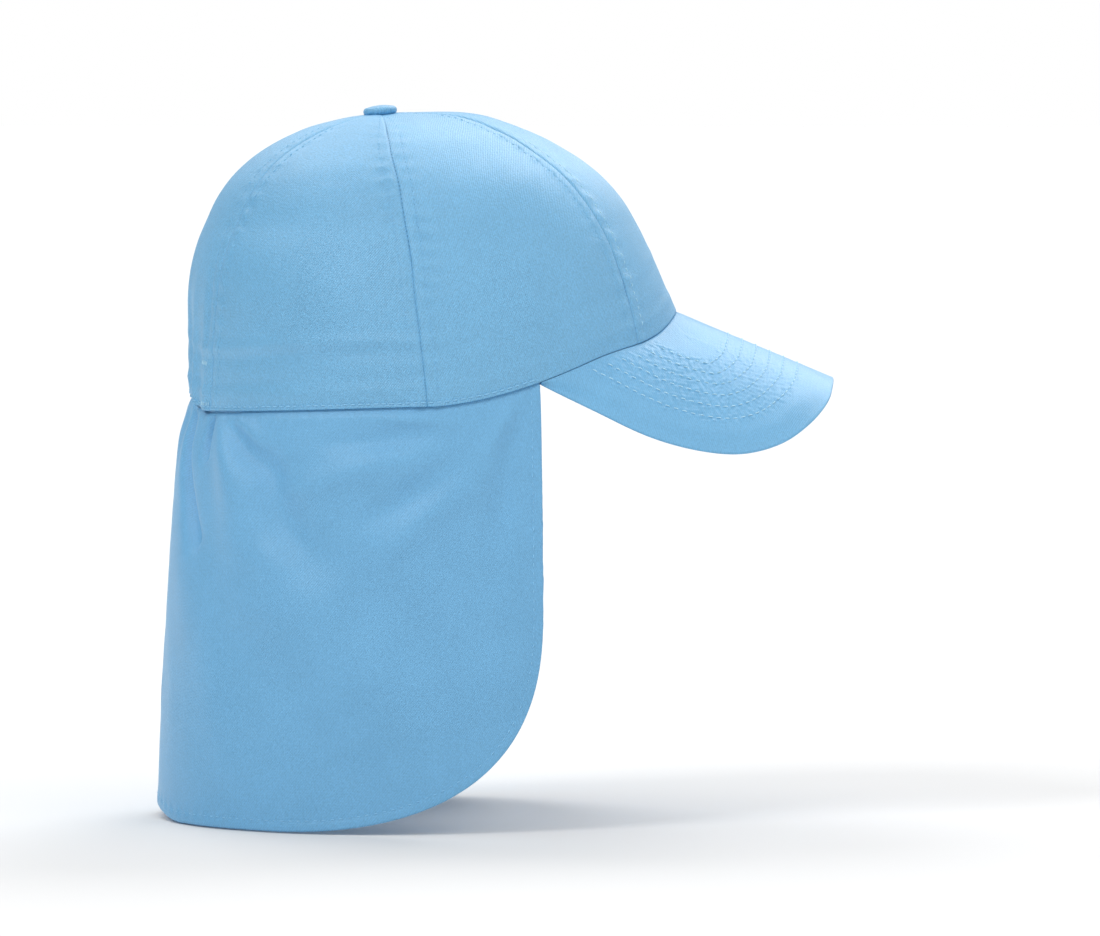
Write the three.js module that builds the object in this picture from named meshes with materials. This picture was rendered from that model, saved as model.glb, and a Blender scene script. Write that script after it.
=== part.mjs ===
// Legionnaire cap: a six-panel cloth crown with a covered button, a stiff curved peak, and a long neck
// flap sewn under the rim from one corner of the peak round the back to the other.
//
// Millimetres. +Z is up, the peak points to -Y and the wearer's left is +X. The origin is the middle of
// the head opening, level with the rim at the sides.

import * as THREE from "three";

// Head opening and crown
const HEAD_HALF_LENGTH = 98.2;
const HEAD_HALF_WIDTH = 80;
const CROWN_HEIGHT = 113.9; // from the rim at the sides up to the button
const BUTTON_SETBACK = 20; // the button lies this far behind the middle of the head opening
const RIM_FRONT_RISE = 34.8;
const RIM_FRONT_DIP = 3.6; // the rim sags between the middle of the front and the temples
const RIM_FRONT_DIP_DEG = 50; // and is straight again this far round
const RIM_BACK_DROP = 4.1;
const BACK_ARCH_RISE = 6; // the gathered rim arches up at the middle of the back
const HEM_ARCH_RISE = 4.5; // and so does the hem of the flap below it
const BACK_ARCH_HALF_DEG = 24;

// Cloth
const CROWN_WALL = 1.5;
const FLAP_WALL = 1.4;
const SWEATBAND_WALL = 1.2;
const CLEARANCE = 0.3; // between neighbouring pieces
const SEAM_DIP = 0.7; // how deep the seams lie between the panels
const SEAM_DIP_WIDTH = 6;
const SEWN_FLAT_HEIGHT = 16; // up to here the seams are flat, where the rim is sewn
const SEAM_DIP_HEIGHT = 39; // and from here up they lie at their full depth
const GATHER_COUNT = 7;
const GATHER_DEPTH = 1.8;
const GATHER_FULL_HEIGHT = 16; // up to here the gathers of the back panel are at their deepest
const GATHER_HEIGHT = 46; // and here they have died out

// Button
const BUTTON_DIAMETER = 13.5;
const BUTTON_HEIGHT = 3.9;
const BUTTON_DOME = 0.7; // the part of that height that is the dome on top
const SHANK_RADIUS = 1.5;
const SHANK_REACH = 1; // below the inner side of the crown
const BUTTON_LEAN_DEG = 2; // it leans back from the crown's own slope

// Peak
const PEAK_CORNER_DEG = 63; // where its corners meet the rim, counted from the front
const PEAK_LENGTH = 68.2; // along its crest
const PEAK_PITCH_DEG = 22.8;
const PEAK_BEND_RADIUS = 53;
const PEAK_THICKNESS = 3;

// Neck flap
const FLAP_DROP = 166.6; // from the rim at the sides down to the hem
const FLAP_FRONT_EDGE = 88; // straight part of its front edge
const FLAP_CORNER_REACH = 110; // of the round lower front corner, along the rim
const FLAP_BACK_FLARE = 14.2; // how far the hem stands out from the rim
const FLAP_SIDE_FLARE = 4;
const FLAP_FRONT_FLARE = 5;
const FLAP_FOLD_DEPTH = 5;
const FLAP_FOLD_WIDTH = 12;
const FOLD_START_WIDTH = 0.7; // a fold opens from this share of its width
const FOLD_END_WIDTH = 1.3; // to this one
const SEWN_TUCK = 6; // sewn up inside the rim
const HEM_WIDTH = 5;
const HEM_PLY = 0.7; // how much thicker the hem ends

// Sweatband
const SWEATBAND_HEIGHT = 24;

// How the shapes curve
const RIM_FRONT_POWER = 1.65;
const RIM_BACK_POWER = 1.2;
const RIM_SHAPE_POWER = 3; // how fast the rim's sag and arch die out up the crown
const RIM_FIT_POWER = 2; // how fast the peak comes off the rim's line onto its own bend
const CORNER_POWER = 2.5;
const FLARE_POWER = 0.4;

// Faces
const PANEL_COLUMNS = 9;
const SEAM_COLUMN = 0.035; // width of the columns beside the seams, as a share of the panel
const GATHER_COLUMNS = 4; // for each gather
const PANEL_ROWS = 12;
const FLAP_HALF_COLUMNS = 31;
const FLAP_CORNER_COLUMNS = 10; // of those, where they are close together
const FLAP_CORNER_SHARE = 0.36; // the share of the half flap that those cover
const FLAP_CORNER_CROWDING = 1.9;
const PEAK_COLUMNS = 26;
const SWEATBAND_COLUMNS = 52;
const BUTTON_SIDES = 18;
const BUTTON_EDGE_STEPS = 5;
const RIM_SAMPLES = 240;
const CLOTH_STEP = 1; // for lengths measured up the cloth
const HALVINGS = 30; // for a height that is searched for

// Levels of the peak from its sewn edge to its outer edge: shares of its reach, with -1 for the sewn edge.
const PEAK_LEVELS = [-1, 0, 0.08, 0.2, 0.4, 0.6, 0.8, 1];

// Levels of the flap between the hem's stitching and the rim, as shares of that depth.
const FLAP_LEVELS = [0.92, 0.84, 0.75, 0.66, 0.57, 0.48, 0.39, 0.31, 0.24, 0.175, 0.12, 0.075, 0.04, 0.018];

// Sections of the crown from the rim up to the button. "out" is the reach from the middle of the head
// opening as a share of its half length or half width. "up" is a share of the way from the rim up to
// the button. "lean" is how far the widest place has moved towards the button.
const CROWN_SECTIONS = [
  { frontOut: 1.0, frontUp: 0.0, sideOut: 1.0, sideUp: 0.0, backOut: 0.972, backUp: 0.0, lean: 0.0 },
  { frontOut: 0.95, frontUp: 0.14, sideOut: 1.003, sideUp: 0.186, backOut: 0.979, backUp: 0.214, lean: 0.11 },
  { frontOut: 0.9, frontUp: 0.281, sideOut: 0.988, sideUp: 0.361, backOut: 0.983, backUp: 0.383, lean: 0.24 },
  { frontOut: 0.841, frontUp: 0.43, sideOut: 0.945, sideUp: 0.518, backOut: 0.96, backUp: 0.522, lean: 0.33 },
  { frontOut: 0.774, frontUp: 0.57, sideOut: 0.88, sideUp: 0.65, backOut: 0.902, backUp: 0.657, lean: 0.465 },
  { frontOut: 0.677, frontUp: 0.7, sideOut: 0.78, sideUp: 0.759, backOut: 0.814, backUp: 0.772, lean: 0.57 },
  { frontOut: 0.54, frontUp: 0.818, sideOut: 0.65, sideUp: 0.847, backOut: 0.692, backUp: 0.867, lean: 0.71 },
  { frontOut: 0.377, frontUp: 0.921, sideOut: 0.495, sideUp: 0.917, backOut: 0.54, backUp: 0.936, lean: 0.8 },
  { frontOut: 0.148, frontUp: 1.0, sideOut: 0.3, sideUp: 0.969, backOut: 0.382, backUp: 0.976, lean: 0.885 },
];

// Turns of the front and back seams at the same sections, in degrees counted from the front.
const SEAM_TURNS = [
  { front: 33, back: 155 },
  { front: 31.5, back: 152 },
  { front: 31, back: 149 },
  { front: 31.5, back: 148 },
  { front: 33, back: 147 },
  { front: 34, back: 145 },
  { front: 34.5, back: 143 },
  { front: 34.5, back: 142 },
  { front: 34.5, back: 141 },
];

// Half of the peak's outer edge, from its tip to its corner. "forward" is a share of the way from the
// corner to the tip, "side" a share of the corner's own distance from the middle.
const PEAK_EDGE = [
  { forward: 1.0, side: 0.0 },
  { forward: 0.995, side: 0.22 },
  { forward: 0.976, side: 0.42 },
  { forward: 0.92, side: 0.615 },
  { forward: 0.828, side: 0.79 },
  { forward: 0.7, side: 0.919 },
  { forward: 0.55, side: 0.991 },
  { forward: 0.37, side: 1.024 },
  { forward: 0.18, side: 1.014 },
  { forward: 0.0, side: 1.0 },
];

// Folds of the flap, the same on both sides. "around" is a share of the way along the rim from the
// middle of the back to the front edge, and "down" a share of the way from the rim to the hem. Each fold
// runs from its first place to its second. "width" and "depth" are shares of the fold sizes above, and a
// valley has a negative depth.
const FLAP_FOLDS = [
  { around: 0.0, down: 0.0, toAround: 0.0, toDown: 0.2, width: 0.4, depth: -0.3 },
  { around: 0.06, down: 0.0, toAround: 0.055, toDown: 0.3, width: 0.45, depth: 0.3 },
  { around: 0.16, down: -0.02, toAround: 0.15, toDown: 0.42, width: 0.55, depth: -1.0 },
  { around: 0.235, down: 0.04, toAround: 0.28, toDown: 0.3, width: 0.8, depth: 0.65 },
  { around: 0.25, down: 0.0, toAround: 0.52, toDown: 0.42, width: 0.8, depth: -0.45 },
  { around: 0.3, down: 0.02, toAround: 0.66, toDown: 0.4, width: 0.9, depth: 0.35 },
  { around: 0.97, down: 0.02, toAround: 0.62, toDown: 0.66, width: 1.3, depth: 0.4 },
  { around: 0.93, down: 0.1, toAround: 0.86, toDown: 0.6, width: 1.1, depth: -0.4 },
];

const TWILL_BLUE = 0x7fb6de;
const PEAK_BLUE = 0x8cc2e8;
const BAND_BLUE = 0x88b9dc;
const CLOTH_ROUGHNESS = 0.85;

const FULL_TURN = 2 * Math.PI;
const HALF_TURN = Math.PI;
const RIGHT_ANGLE = Math.PI / 2;
const UP = new THREE.Vector3(0, 0, 1);
const SMALL_STEP = 1e-3; // of a share or a turn
const SMALL_DEPTH = 0.05;

const radians = THREE.MathUtils.degToRad;
const lerp = THREE.MathUtils.lerp;
const clamp = THREE.MathUtils.clamp;
const smooth = THREE.MathUtils.smoothstep;

// A point from its distances forward, to the wearer's left and up.
function place(forward, left, up) {
  return new THREE.Vector3(left, -forward, up);
}

// Equal steps from 0 to 1, with both ends.
function steps(count) {
  return Array.from({ length: count + 1 }, (_, i) => i / count);
}

// A smooth curve through four values, from the second to the third.
function catmullRom(before, from, to, after, t) {
  const slopeFrom = (to - before) / 2;
  const slopeTo = (after - from) / 2;
  const cubic = 2 * from - 2 * to + slopeFrom + slopeTo;
  const square = -3 * from + 3 * to - 2 * slopeFrom - slopeTo;
  return ((cubic * t + square) * t + slopeFrom) * t + from;
}

// A table's row at a share of the way from its first row to its last. The rows just outside the ends
// are given, so that the curve also runs smoothly into them.
function rowAt(rows, share, beforeFirst, afterLast) {
  const last = rows.length - 1;
  const i = clamp(Math.floor(share * last), 0, last - 1);
  const t = share * last - i;
  const before = rows[i - 1] ?? beforeFirst;
  const after = rows[i + 2] ?? afterLast;
  const names = Object.keys(rows[0]);
  return Object.fromEntries(
    names.map((name) => [name, catmullRom(before[name], rows[i][name], rows[i + 1][name], after[name], t)]),
  );
}

// The row that a straight run on from two rows gives.
function runOn(near, far) {
  return Object.fromEntries(Object.keys(near).map((name) => [name, 2 * near[name] - far[name]]));
}

// Crown

// The rim and every level above it: a value at the front, the sides and the back, joined smoothly.
function sweep(turn, front, side, back) {
  const ahead = Math.cos(turn);
  if (ahead > 0) return lerp(side, front, Math.pow(ahead, RIM_FRONT_POWER));
  return lerp(side, back, Math.pow(-ahead, RIM_BACK_POWER));
}

// A section's shares as millimetres, and its seams as turns.
function sectionInMillimetres(row, i) {
  return {
    front: row.frontOut * HEAD_HALF_LENGTH,
    frontUp: lerp(RIM_FRONT_RISE, CROWN_HEIGHT, row.frontUp),
    side: row.sideOut * HEAD_HALF_WIDTH,
    sideUp: lerp(0, CROWN_HEIGHT, row.sideUp),
    back: row.backOut * HEAD_HALF_LENGTH,
    backUp: lerp(-RIM_BACK_DROP, CROWN_HEIGHT, row.backUp),
    middle: -row.lean * BUTTON_SETBACK,
    frontSeam: radians(SEAM_TURNS[i].front),
    backSeam: radians(SEAM_TURNS[i].back),
  };
}

const tableRows = CROWN_SECTIONS.map(sectionInMillimetres);
const topRow = tableRows[tableRows.length - 1];
const apexRow = {
  ...topRow,
  front: -BUTTON_SETBACK,
  frontUp: CROWN_HEIGHT,
  side: 0,
  sideUp: CROWN_HEIGHT,
  back: BUTTON_SETBACK,
  backUp: CROWN_HEIGHT,
  middle: -BUTTON_SETBACK,
};
// Past the button each line up the crown runs on down the opposite side.
const beyondApex = {
  ...topRow,
  front: -topRow.back,
  frontUp: topRow.backUp,
  side: -topRow.side,
  back: -topRow.front,
  backUp: topRow.frontUp,
  middle: runOn(apexRow, topRow).middle,
};
const crownRows = [...tableRows, apexRow];
const belowRim = runOn(crownRows[0], crownRows[1]);

function sectionAt(height) {
  return rowAt(crownRows, height, belowRim, beyondApex);
}

// How much of the arch at the middle of the back there is at a place round the rim.
function backArch(turn) {
  const fromBack = Math.acos(-Math.cos(turn));
  const half = radians(BACK_ARCH_HALF_DEG);
  return fromBack < half ? 0.5 + 0.5 * Math.cos((Math.PI * fromBack) / half) : 0;
}

// How much of the sag beside the middle of the front there is at a place round the rim.
function frontDip(turn) {
  const fromFront = Math.acos(Math.cos(turn));
  const reach = radians(RIM_FRONT_DIP_DEG);
  return fromFront < reach ? Math.pow(Math.sin((Math.PI * fromFront) / reach), 2) : 0;
}

// A point of the crown's outer side. "turn" goes from 0 at the front round by the wearer's left, and
// "height" from 0 at the rim to 1 at the button.
function crownPoint(turn, height) {
  const s = sectionAt(height);
  const ahead = Math.cos(turn);
  const reach = ahead > 0 ? s.front - s.middle : s.back + s.middle;
  const rimShape = BACK_ARCH_RISE * backArch(turn) - RIM_FRONT_DIP * frontDip(turn);
  const up = sweep(turn, s.frontUp, s.sideUp, s.backUp) + rimShape * Math.pow(1 - height, RIM_SHAPE_POWER);
  return place(s.middle + reach * ahead, s.side * Math.sin(turn), up);
}

function crownNormal(turn, height) {
  const along = crownPoint(turn + SMALL_STEP, height).sub(crownPoint(turn - SMALL_STEP, height));
  const upward = crownPoint(turn, height + SMALL_STEP).sub(crownPoint(turn, height - SMALL_STEP));
  return along.cross(upward).normalize();
}

// A point that lies the given distance outside the crown, or inside it when negative.
function besideCrown(turn, height, outside) {
  return crownPoint(turn, height).addScaledVector(crownNormal(turn, height), outside);
}

// The height share that lies a distance up the cloth from the rim.
function heightFromRim(turn, distance) {
  const step = CLOTH_STEP / CROWN_HEIGHT;
  let height = 0;
  let walked = 0;
  let last = crownPoint(turn, 0);
  while (height < 1) {
    const next = crownPoint(turn, height + step);
    const length = next.distanceTo(last);
    if (walked + length >= distance) return height + (step * (distance - walked)) / length;
    walked += length;
    last = next;
    height += step;
  }
  return 1;
}

const apex = place(-BUTTON_SETBACK, 0, CROWN_HEIGHT);

// The height share where a line up the crown comes within a distance of the button's middle.
function heightNearApex(turn, distance) {
  let low = 0.5;
  let high = 1;
  for (let i = 0; i < HALVINGS; i++) {
    const middle = (low + high) / 2;
    if (crownPoint(turn, middle).distanceTo(apex) > distance) low = middle;
    else high = middle;
  }
  return low;
}

// A closed sheet of cloth between two faces. Each face gives a point for a place around, counted so
// that the outer face is seen from outside with "around" to the right, and a place upward.
function sheet(outer, inner, around, upward, closed = false) {
  const columns = around.length;
  const rows = upward.length;
  const top = rows - 1;
  const positions = [];
  const indices = [];
  for (const face of [outer, inner]) {
    for (const u of around) {
      for (const v of upward) positions.push(...face(u, v).toArray());
    }
  }
  const outside = (i, j) => (i % columns) * rows + j;
  const inside = (i, j) => columns * rows + outside(i, j);
  const quad = (a, b, c, d) => indices.push(a, b, c, a, c, d);
  const spans = closed ? columns : columns - 1;
  for (let i = 0; i < spans; i++) {
    for (let j = 0; j < top; j++) {
      quad(outside(i, j), outside(i + 1, j), outside(i + 1, j + 1), outside(i, j + 1));
      quad(inside(i, j), inside(i, j + 1), inside(i + 1, j + 1), inside(i + 1, j));
    }
    quad(inside(i, 0), inside(i + 1, 0), outside(i + 1, 0), outside(i, 0));
    quad(outside(i, top), outside(i + 1, top), inside(i + 1, top), inside(i, top));
  }
  if (!closed) {
    const end = columns - 1;
    for (let j = 0; j < top; j++) {
      quad(outside(0, j), outside(0, j + 1), inside(0, j + 1), inside(0, j));
      quad(outside(end, j), inside(end, j), inside(end, j + 1), outside(end, j + 1));
    }
  }
  const geometry = new THREE.BufferGeometry();
  geometry.setAttribute("position", new THREE.Float32BufferAttribute(positions, 3));
  geometry.setIndex(indices);
  geometry.computeVertexNormals();
  return geometry;
}

const group = new THREE.Group();

function addPiece(name, geometry, color, roughness = CLOTH_ROUGHNESS) {
  const material = new THREE.MeshStandardMaterial({ color, roughness, metalness: 0 });
  const mesh = new THREE.Mesh(geometry, material);
  mesh.name = name;
  group.add(mesh);
  return mesh;
}

// One panel of the crown between two seams. Each seam gives its turn at a height. The panel dips to its
// seams, except where it is sewn flat at the rim, and "gathers" adds folds that stand out.
function crownPanel(name, fromSeam, toSeam, gathers = 0) {
  const holeRadius = SHANK_RADIUS + CLEARANCE;
  const turnAt = (share, height) => {
    const from = fromSeam(height);
    const to = toSeam(height);
    const width = crownPoint(from, height).distanceTo(crownPoint(to, height));
    const gap = ((CLEARANCE / 2) * (to - from)) / width;
    return lerp(from + gap, to - gap, share);
  };
  const reliefAt = (share, height, width) => {
    const fromSeamLine = Math.min(share, 1 - share) * width;
    const dip = Math.exp(-Math.pow(fromSeamLine / SEAM_DIP_WIDTH, 2));
    const aboveSewnRim = smooth(height * CROWN_HEIGHT, SEWN_FLAT_HEIGHT, SEAM_DIP_HEIGHT);
    const gatherWave = 0.5 - 0.5 * Math.cos(FULL_TURN * gathers * share);
    const gatherFade = 1 - smooth(height * CROWN_HEIGHT, GATHER_FULL_HEIGHT, GATHER_HEIGHT);
    return GATHER_DEPTH * gatherWave * gatherFade - SEAM_DIP * dip * aboveSewnRim;
  };
  const pointAt = (share, upShare, inward) => {
    const last = heightNearApex(turnAt(share, 1 - SMALL_STEP), holeRadius);
    const height = upShare * last;
    const turn = turnAt(share, height);
    const width = crownPoint(fromSeam(height), height).distanceTo(crownPoint(toSeam(height), height));
    return besideCrown(turn, height, reliefAt(share, height, width) - inward);
  };
  const between = steps(PANEL_COLUMNS - 2).map((share) => lerp(SEAM_COLUMN, 1 - SEAM_COLUMN, share));
  const around = gathers ? steps(gathers * GATHER_COLUMNS) : [0, ...between, 1];
  const geometry = sheet(
    (share, upShare) => pointAt(share, upShare, 0),
    (share, upShare) => pointAt(share, upShare, CROWN_WALL),
    around,
    steps(PANEL_ROWS),
  );
  addPiece(name, geometry, TWILL_BLUE);
}

const frontSeamLeft = (height) => sectionAt(height).frontSeam;
const sideSeamLeft = () => RIGHT_ANGLE;
const backSeamLeft = (height) => sectionAt(height).backSeam;
const backSeamRight = (height) => FULL_TURN - backSeamLeft(height);
const sideSeamRight = () => FULL_TURN - RIGHT_ANGLE;
const frontSeamRight = (height) => FULL_TURN - frontSeamLeft(height);
const frontSeamBefore = (height) => -frontSeamLeft(height);

crownPanel("front_panel", frontSeamBefore, frontSeamLeft);
crownPanel("front_side_panel_left", frontSeamLeft, sideSeamLeft);
crownPanel("back_side_panel_left", sideSeamLeft, backSeamLeft);
crownPanel("back_panel", backSeamLeft, backSeamRight, GATHER_COUNT);
crownPanel("back_side_panel_right", backSeamRight, sideSeamRight);
crownPanel("front_side_panel_right", sideSeamRight, frontSeamRight);

// Button

// A covered disc with round edges and a low dome, on a shank that goes through the crown.
function button() {
  const radius = BUTTON_DIAMETER / 2;
  const edgeRadius = (BUTTON_HEIGHT - BUTTON_DOME) / 2;
  const edgeMiddle = radius - edgeRadius;
  const shankBottom = -(CROWN_WALL + CLEARANCE + SHANK_REACH);
  const profile = [
    new THREE.Vector2(0, shankBottom),
    new THREE.Vector2(SHANK_RADIUS, shankBottom),
    new THREE.Vector2(SHANK_RADIUS, 0),
  ];
  for (const share of steps(BUTTON_EDGE_STEPS)) {
    const angle = lerp(-RIGHT_ANGLE, RIGHT_ANGLE, share);
    profile.push(
      new THREE.Vector2(edgeMiddle + edgeRadius * Math.cos(angle), edgeRadius * (1 + Math.sin(angle))),
    );
  }
  const halfWay = 0.5;
  const domeThere = BUTTON_DOME * (1 - halfWay * halfWay);
  profile.push(new THREE.Vector2(edgeMiddle * halfWay, 2 * edgeRadius + domeThere));
  profile.push(new THREE.Vector2(0, BUTTON_HEIGHT));
  const mesh = addPiece(
    "button",
    new THREE.LatheGeometry(profile, BUTTON_SIDES).rotateX(RIGHT_ANGLE),
    TWILL_BLUE,
  );
  const frontFoot = crownPoint(0, heightNearApex(0, radius));
  const backFoot = crownPoint(HALF_TURN, heightNearApex(HALF_TURN, radius));
  const slope = Math.atan2(frontFoot.z - backFoot.z, backFoot.y - frontFoot.y);
  const lean = slope + radians(BUTTON_LEAN_DEG);
  const normal = place(-Math.sin(lean), 0, Math.cos(lean));
  mesh.quaternion.setFromUnitVectors(UP, normal);
  mesh.position.copy(apex).addScaledVector(normal, CLEARANCE);
}

button();

// Peak

const rimFront = crownPoint(0, 0);
const peakCornerTurn = radians(PEAK_CORNER_DEG);
const peakCorner = crownPoint(peakCornerTurn, 0);
const peakSlope = Math.tan(radians(PEAK_PITCH_DEG));

// The height of the bent board above a place: it slopes down forward and curves down to the sides.
function boardHeight(forward, left) {
  const ahead = forward + rimFront.y;
  return rimFront.z - peakSlope * ahead - (left * left) / (2 * PEAK_BEND_RADIUS);
}

// A point of the outer edge for a place across, from -1 at the right corner to 1 at the left one.
function peakEdge(across) {
  const firstRow = PEAK_EDGE[1];
  const beforeTip = { forward: firstRow.forward, side: -firstRow.side };
  const afterCorner = runOn(PEAK_EDGE[PEAK_EDGE.length - 1], PEAK_EDGE[PEAK_EDGE.length - 2]);
  const row = rowAt(PEAK_EDGE, Math.abs(across), beforeTip, afterCorner);
  const tipForward = -rimFront.y + PEAK_LENGTH * Math.cos(radians(PEAK_PITCH_DEG));
  return {
    forward: lerp(-peakCorner.y, tipForward, row.forward),
    left: Math.sign(across) * row.side * peakCorner.x,
  };
}

// The top of the board. "outward" goes from 0 where it meets the rim to 1 at its outer edge, and below
// 0 it is the sewn edge that lies under the rim.
function peakTop(across, outward) {
  const turn = across * peakCornerTurn;
  const rim = besideCrown(turn, 0, Math.min(outward, 0) * SEWN_TUCK).addScaledVector(UP, -CLEARANCE);
  if (outward <= 0) return rim;
  const edge = peakEdge(across);
  const forward = lerp(-rim.y, edge.forward, outward);
  const left = lerp(rim.x, edge.left, outward);
  const rimMisfit = rim.z - boardHeight(-rim.y, rim.x);
  return place(forward, left, boardHeight(forward, left) + rimMisfit * Math.pow(1 - outward, RIM_FIT_POWER));
}

// The underside follows the top, straight below the board's own surface.
function peakUnderside(across, outward) {
  const top = peakTop(across, outward);
  const tiltAcross = top.x / PEAK_BEND_RADIUS;
  const normal = new THREE.Vector3(tiltAcross, -peakSlope, 1).normalize();
  return top.addScaledVector(normal, -PEAK_THICKNESS);
}

function peak() {
  const across = steps(PEAK_COLUMNS).map((share) => 2 * share - 1);
  addPiece("peak", sheet(peakUnderside, peakTop, across, PEAK_LEVELS), PEAK_BLUE);
}

peak();

// Neck flap

// The flap starts beside the peak's corner.
const flapGapTurn = (2 * CLEARANCE) / HEAD_HALF_LENGTH;
const flapStart = peakCornerTurn + flapGapTurn;

// The length of the rim from the flap's front edge to each of many turns, up to the back.
const rimTurns = steps(RIM_SAMPLES).map((share) => lerp(flapStart, HALF_TURN, share));
const rimLengths = rimTurns.reduce((lengths, turn, i) => {
  if (i === 0) return [0];
  const step = crownPoint(turn, 0).distanceTo(crownPoint(rimTurns[i - 1], 0));
  return [...lengths, lengths[i - 1] + step];
}, []);
const flapHalfLength = rimLengths[RIM_SAMPLES];

function turnAtRimLength(length) {
  const i = clamp(rimLengths.findIndex((l) => l >= length), 1, RIM_SAMPLES);
  const share = (length - rimLengths[i - 1]) / (rimLengths[i] - rimLengths[i - 1]);
  return lerp(rimTurns[i - 1], rimTurns[i], share);
}

// The hem's height at a length along the rim from the front edge.
function hemHeight(length, turn) {
  const bottom = -FLAP_DROP + HEM_ARCH_RISE * backArch(turn);
  const cornerTop = crownPoint(flapStart, 0).z - FLAP_FRONT_EDGE;
  const left = clamp(1 - length / FLAP_CORNER_REACH, 0, 1);
  const round = Math.pow(1 - Math.pow(left, CORNER_POWER), 1 / CORNER_POWER);
  return lerp(cornerTop, bottom, round);
}

// How far the flap's outer side stands out from the rim at a depth below it.
function flapFlare(turn, down) {
  const sewnIn = -(CROWN_WALL + CLEARANCE);
  const hemFlare = sweep(turn, FLAP_FRONT_FLARE, FLAP_SIDE_FLARE, FLAP_BACK_FLARE);
  const share = Math.max(0, (down - 2 * CLEARANCE) / FLAP_DROP);
  return sewnIn + (hemFlare - sewnIn) * Math.pow(share, FLARE_POWER);
}

// How strong a fold is at a share of the way along it: it sets in at once and dies out slowly.
function foldFade(share) {
  return smooth(share, -0.1, 0.12) * (1 - smooth(share, 0.35, 1.05));
}

// The sum of the folds at a place of the flap.
function foldRelief(length, down) {
  const along = flapHalfLength - length;
  return FLAP_FOLDS.reduce((sum, fold) => {
    const startAlong = fold.around * flapHalfLength;
    const startDown = fold.down * FLAP_DROP;
    const runAlong = (fold.toAround - fold.around) * flapHalfLength;
    const runDown = (fold.toDown - fold.down) * FLAP_DROP;
    const run = Math.hypot(runAlong, runDown);
    const share = ((along - startAlong) * runAlong + (down - startDown) * runDown) / (run * run);
    const aside = ((along - startAlong) * runDown - (down - startDown) * runAlong) / run;
    const opening = lerp(FOLD_START_WIDTH, FOLD_END_WIDTH, clamp(share, 0, 1));
    const across = Math.exp(-Math.pow(aside / (fold.width * FLAP_FOLD_WIDTH * opening), 2));
    return sum + fold.depth * FLAP_FOLD_DEPTH * across * foldFade(share);
  }, 0);
}

// The flap is symmetric, so both sides are worked out on the left one. "around" goes from 0 at the left
// front edge to 2 at the right one, and "down" is the depth below the rim, negative where it is sewn in.
function flapPoint(around, down) {
  const length = Math.min(around, 2 - around) * flapHalfLength;
  const turn = turnAtRimLength(length);
  const point =
    down < 0
      ? besideCrown(turn, heightFromRim(turn, -down), -(CROWN_WALL + CLEARANCE))
      : hangingPoint(length, turn, down);
  if (around > 1) point.x = -point.x;
  return point;
}

function hangingPoint(length, turn, down) {
  const outward = crownNormal(turn, 0).setZ(0).normalize();
  const sewn = smooth(down, 0, SEWN_TUCK);
  const out = flapFlare(turn, down) + foldRelief(length, down) * sewn;
  return crownPoint(turn, 0).addScaledVector(outward, out).addScaledVector(UP, -down);
}

function flapNormal(around, down) {
  const inside = clamp(around, SMALL_STEP, 2 - SMALL_STEP);
  const along = flapPoint(inside + SMALL_STEP, down).sub(flapPoint(inside - SMALL_STEP, down));
  const upward = flapPoint(inside, down - SMALL_DEPTH).sub(flapPoint(inside, down + SMALL_DEPTH));
  return along.cross(upward).normalize();
}

// The columns of the half flap from its front edge to the middle of the back, close together where the
// corner is round.
function halfFlapColumns() {
  const corner = steps(FLAP_CORNER_COLUMNS).map(
    (share) => FLAP_CORNER_SHARE * Math.pow(share, FLAP_CORNER_CROWDING),
  );
  const rest = steps(FLAP_HALF_COLUMNS - FLAP_CORNER_COLUMNS).slice(1);
  return [...corner, ...rest.map((share) => lerp(FLAP_CORNER_SHARE, 1, share))];
}

function neckFlap() {
  const half = halfFlapColumns();
  const otherHalf = half.slice(0, -1).reverse();
  const around = [...half, ...otherHalf.map((share) => 2 - share)];
  const levels = ["hem", "hem stitching", ...FLAP_LEVELS, "rim", "sewn edge"];
  const downAt = (around, level) => {
    const length = Math.min(around, 2 - around) * flapHalfLength;
    const turn = turnAtRimLength(length);
    const depth = crownPoint(turn, 0).z - hemHeight(length, turn);
    if (level === "sewn edge") return -SEWN_TUCK;
    if (level === "rim") return 2 * CLEARANCE;
    if (level === "hem") return depth;
    if (level === "hem stitching") return depth - HEM_WIDTH;
    return level * (depth - HEM_WIDTH);
  };
  const outer = (around, level) => flapPoint(around, downAt(around, level));
  const inner = (around, level) => {
    const down = downAt(around, level);
    const atEdge = level === "hem" || around === 0 || around === 2;
    const wall = FLAP_WALL + (atEdge && down > 0 ? HEM_PLY : 0);
    return flapPoint(around, down).addScaledVector(flapNormal(around, down), -wall);
  };
  addPiece("neck_flap", sheet(outer, inner, around, levels), TWILL_BLUE);
}

neckFlap();

// Sweatband

// It starts inside the sewn edge of the flap and comes out to the crown above it.
function sweatband() {
  const layers = CROWN_WALL + FLAP_WALL + 2 * CLEARANCE;
  const sections = [
    { up: 0, inside: layers },
    { up: SEWN_TUCK + 1, inside: layers },
    { up: SWEATBAND_HEIGHT, inside: CROWN_WALL + CLEARANCE },
  ];
  const face = (extra) => (turn, section) =>
    besideCrown(turn, heightFromRim(turn, section.up), -section.inside - extra);
  const around = steps(SWEATBAND_COLUMNS)
    .slice(0, -1)
    .map((share) => share * FULL_TURN);
  addPiece("sweatband", sheet(face(0), face(SWEATBAND_WALL), around, sections, true), BAND_BLUE);
}

sweatband();

export default group;
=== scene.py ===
"""The legionnaire cap's looks: its cloth, stitching and drape, with a plain studio round them.

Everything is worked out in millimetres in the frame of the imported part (+Z up, the peak towards -Y, the
wearer's left +X) and turned into metres when a mesh is made.
"""

import math

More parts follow.
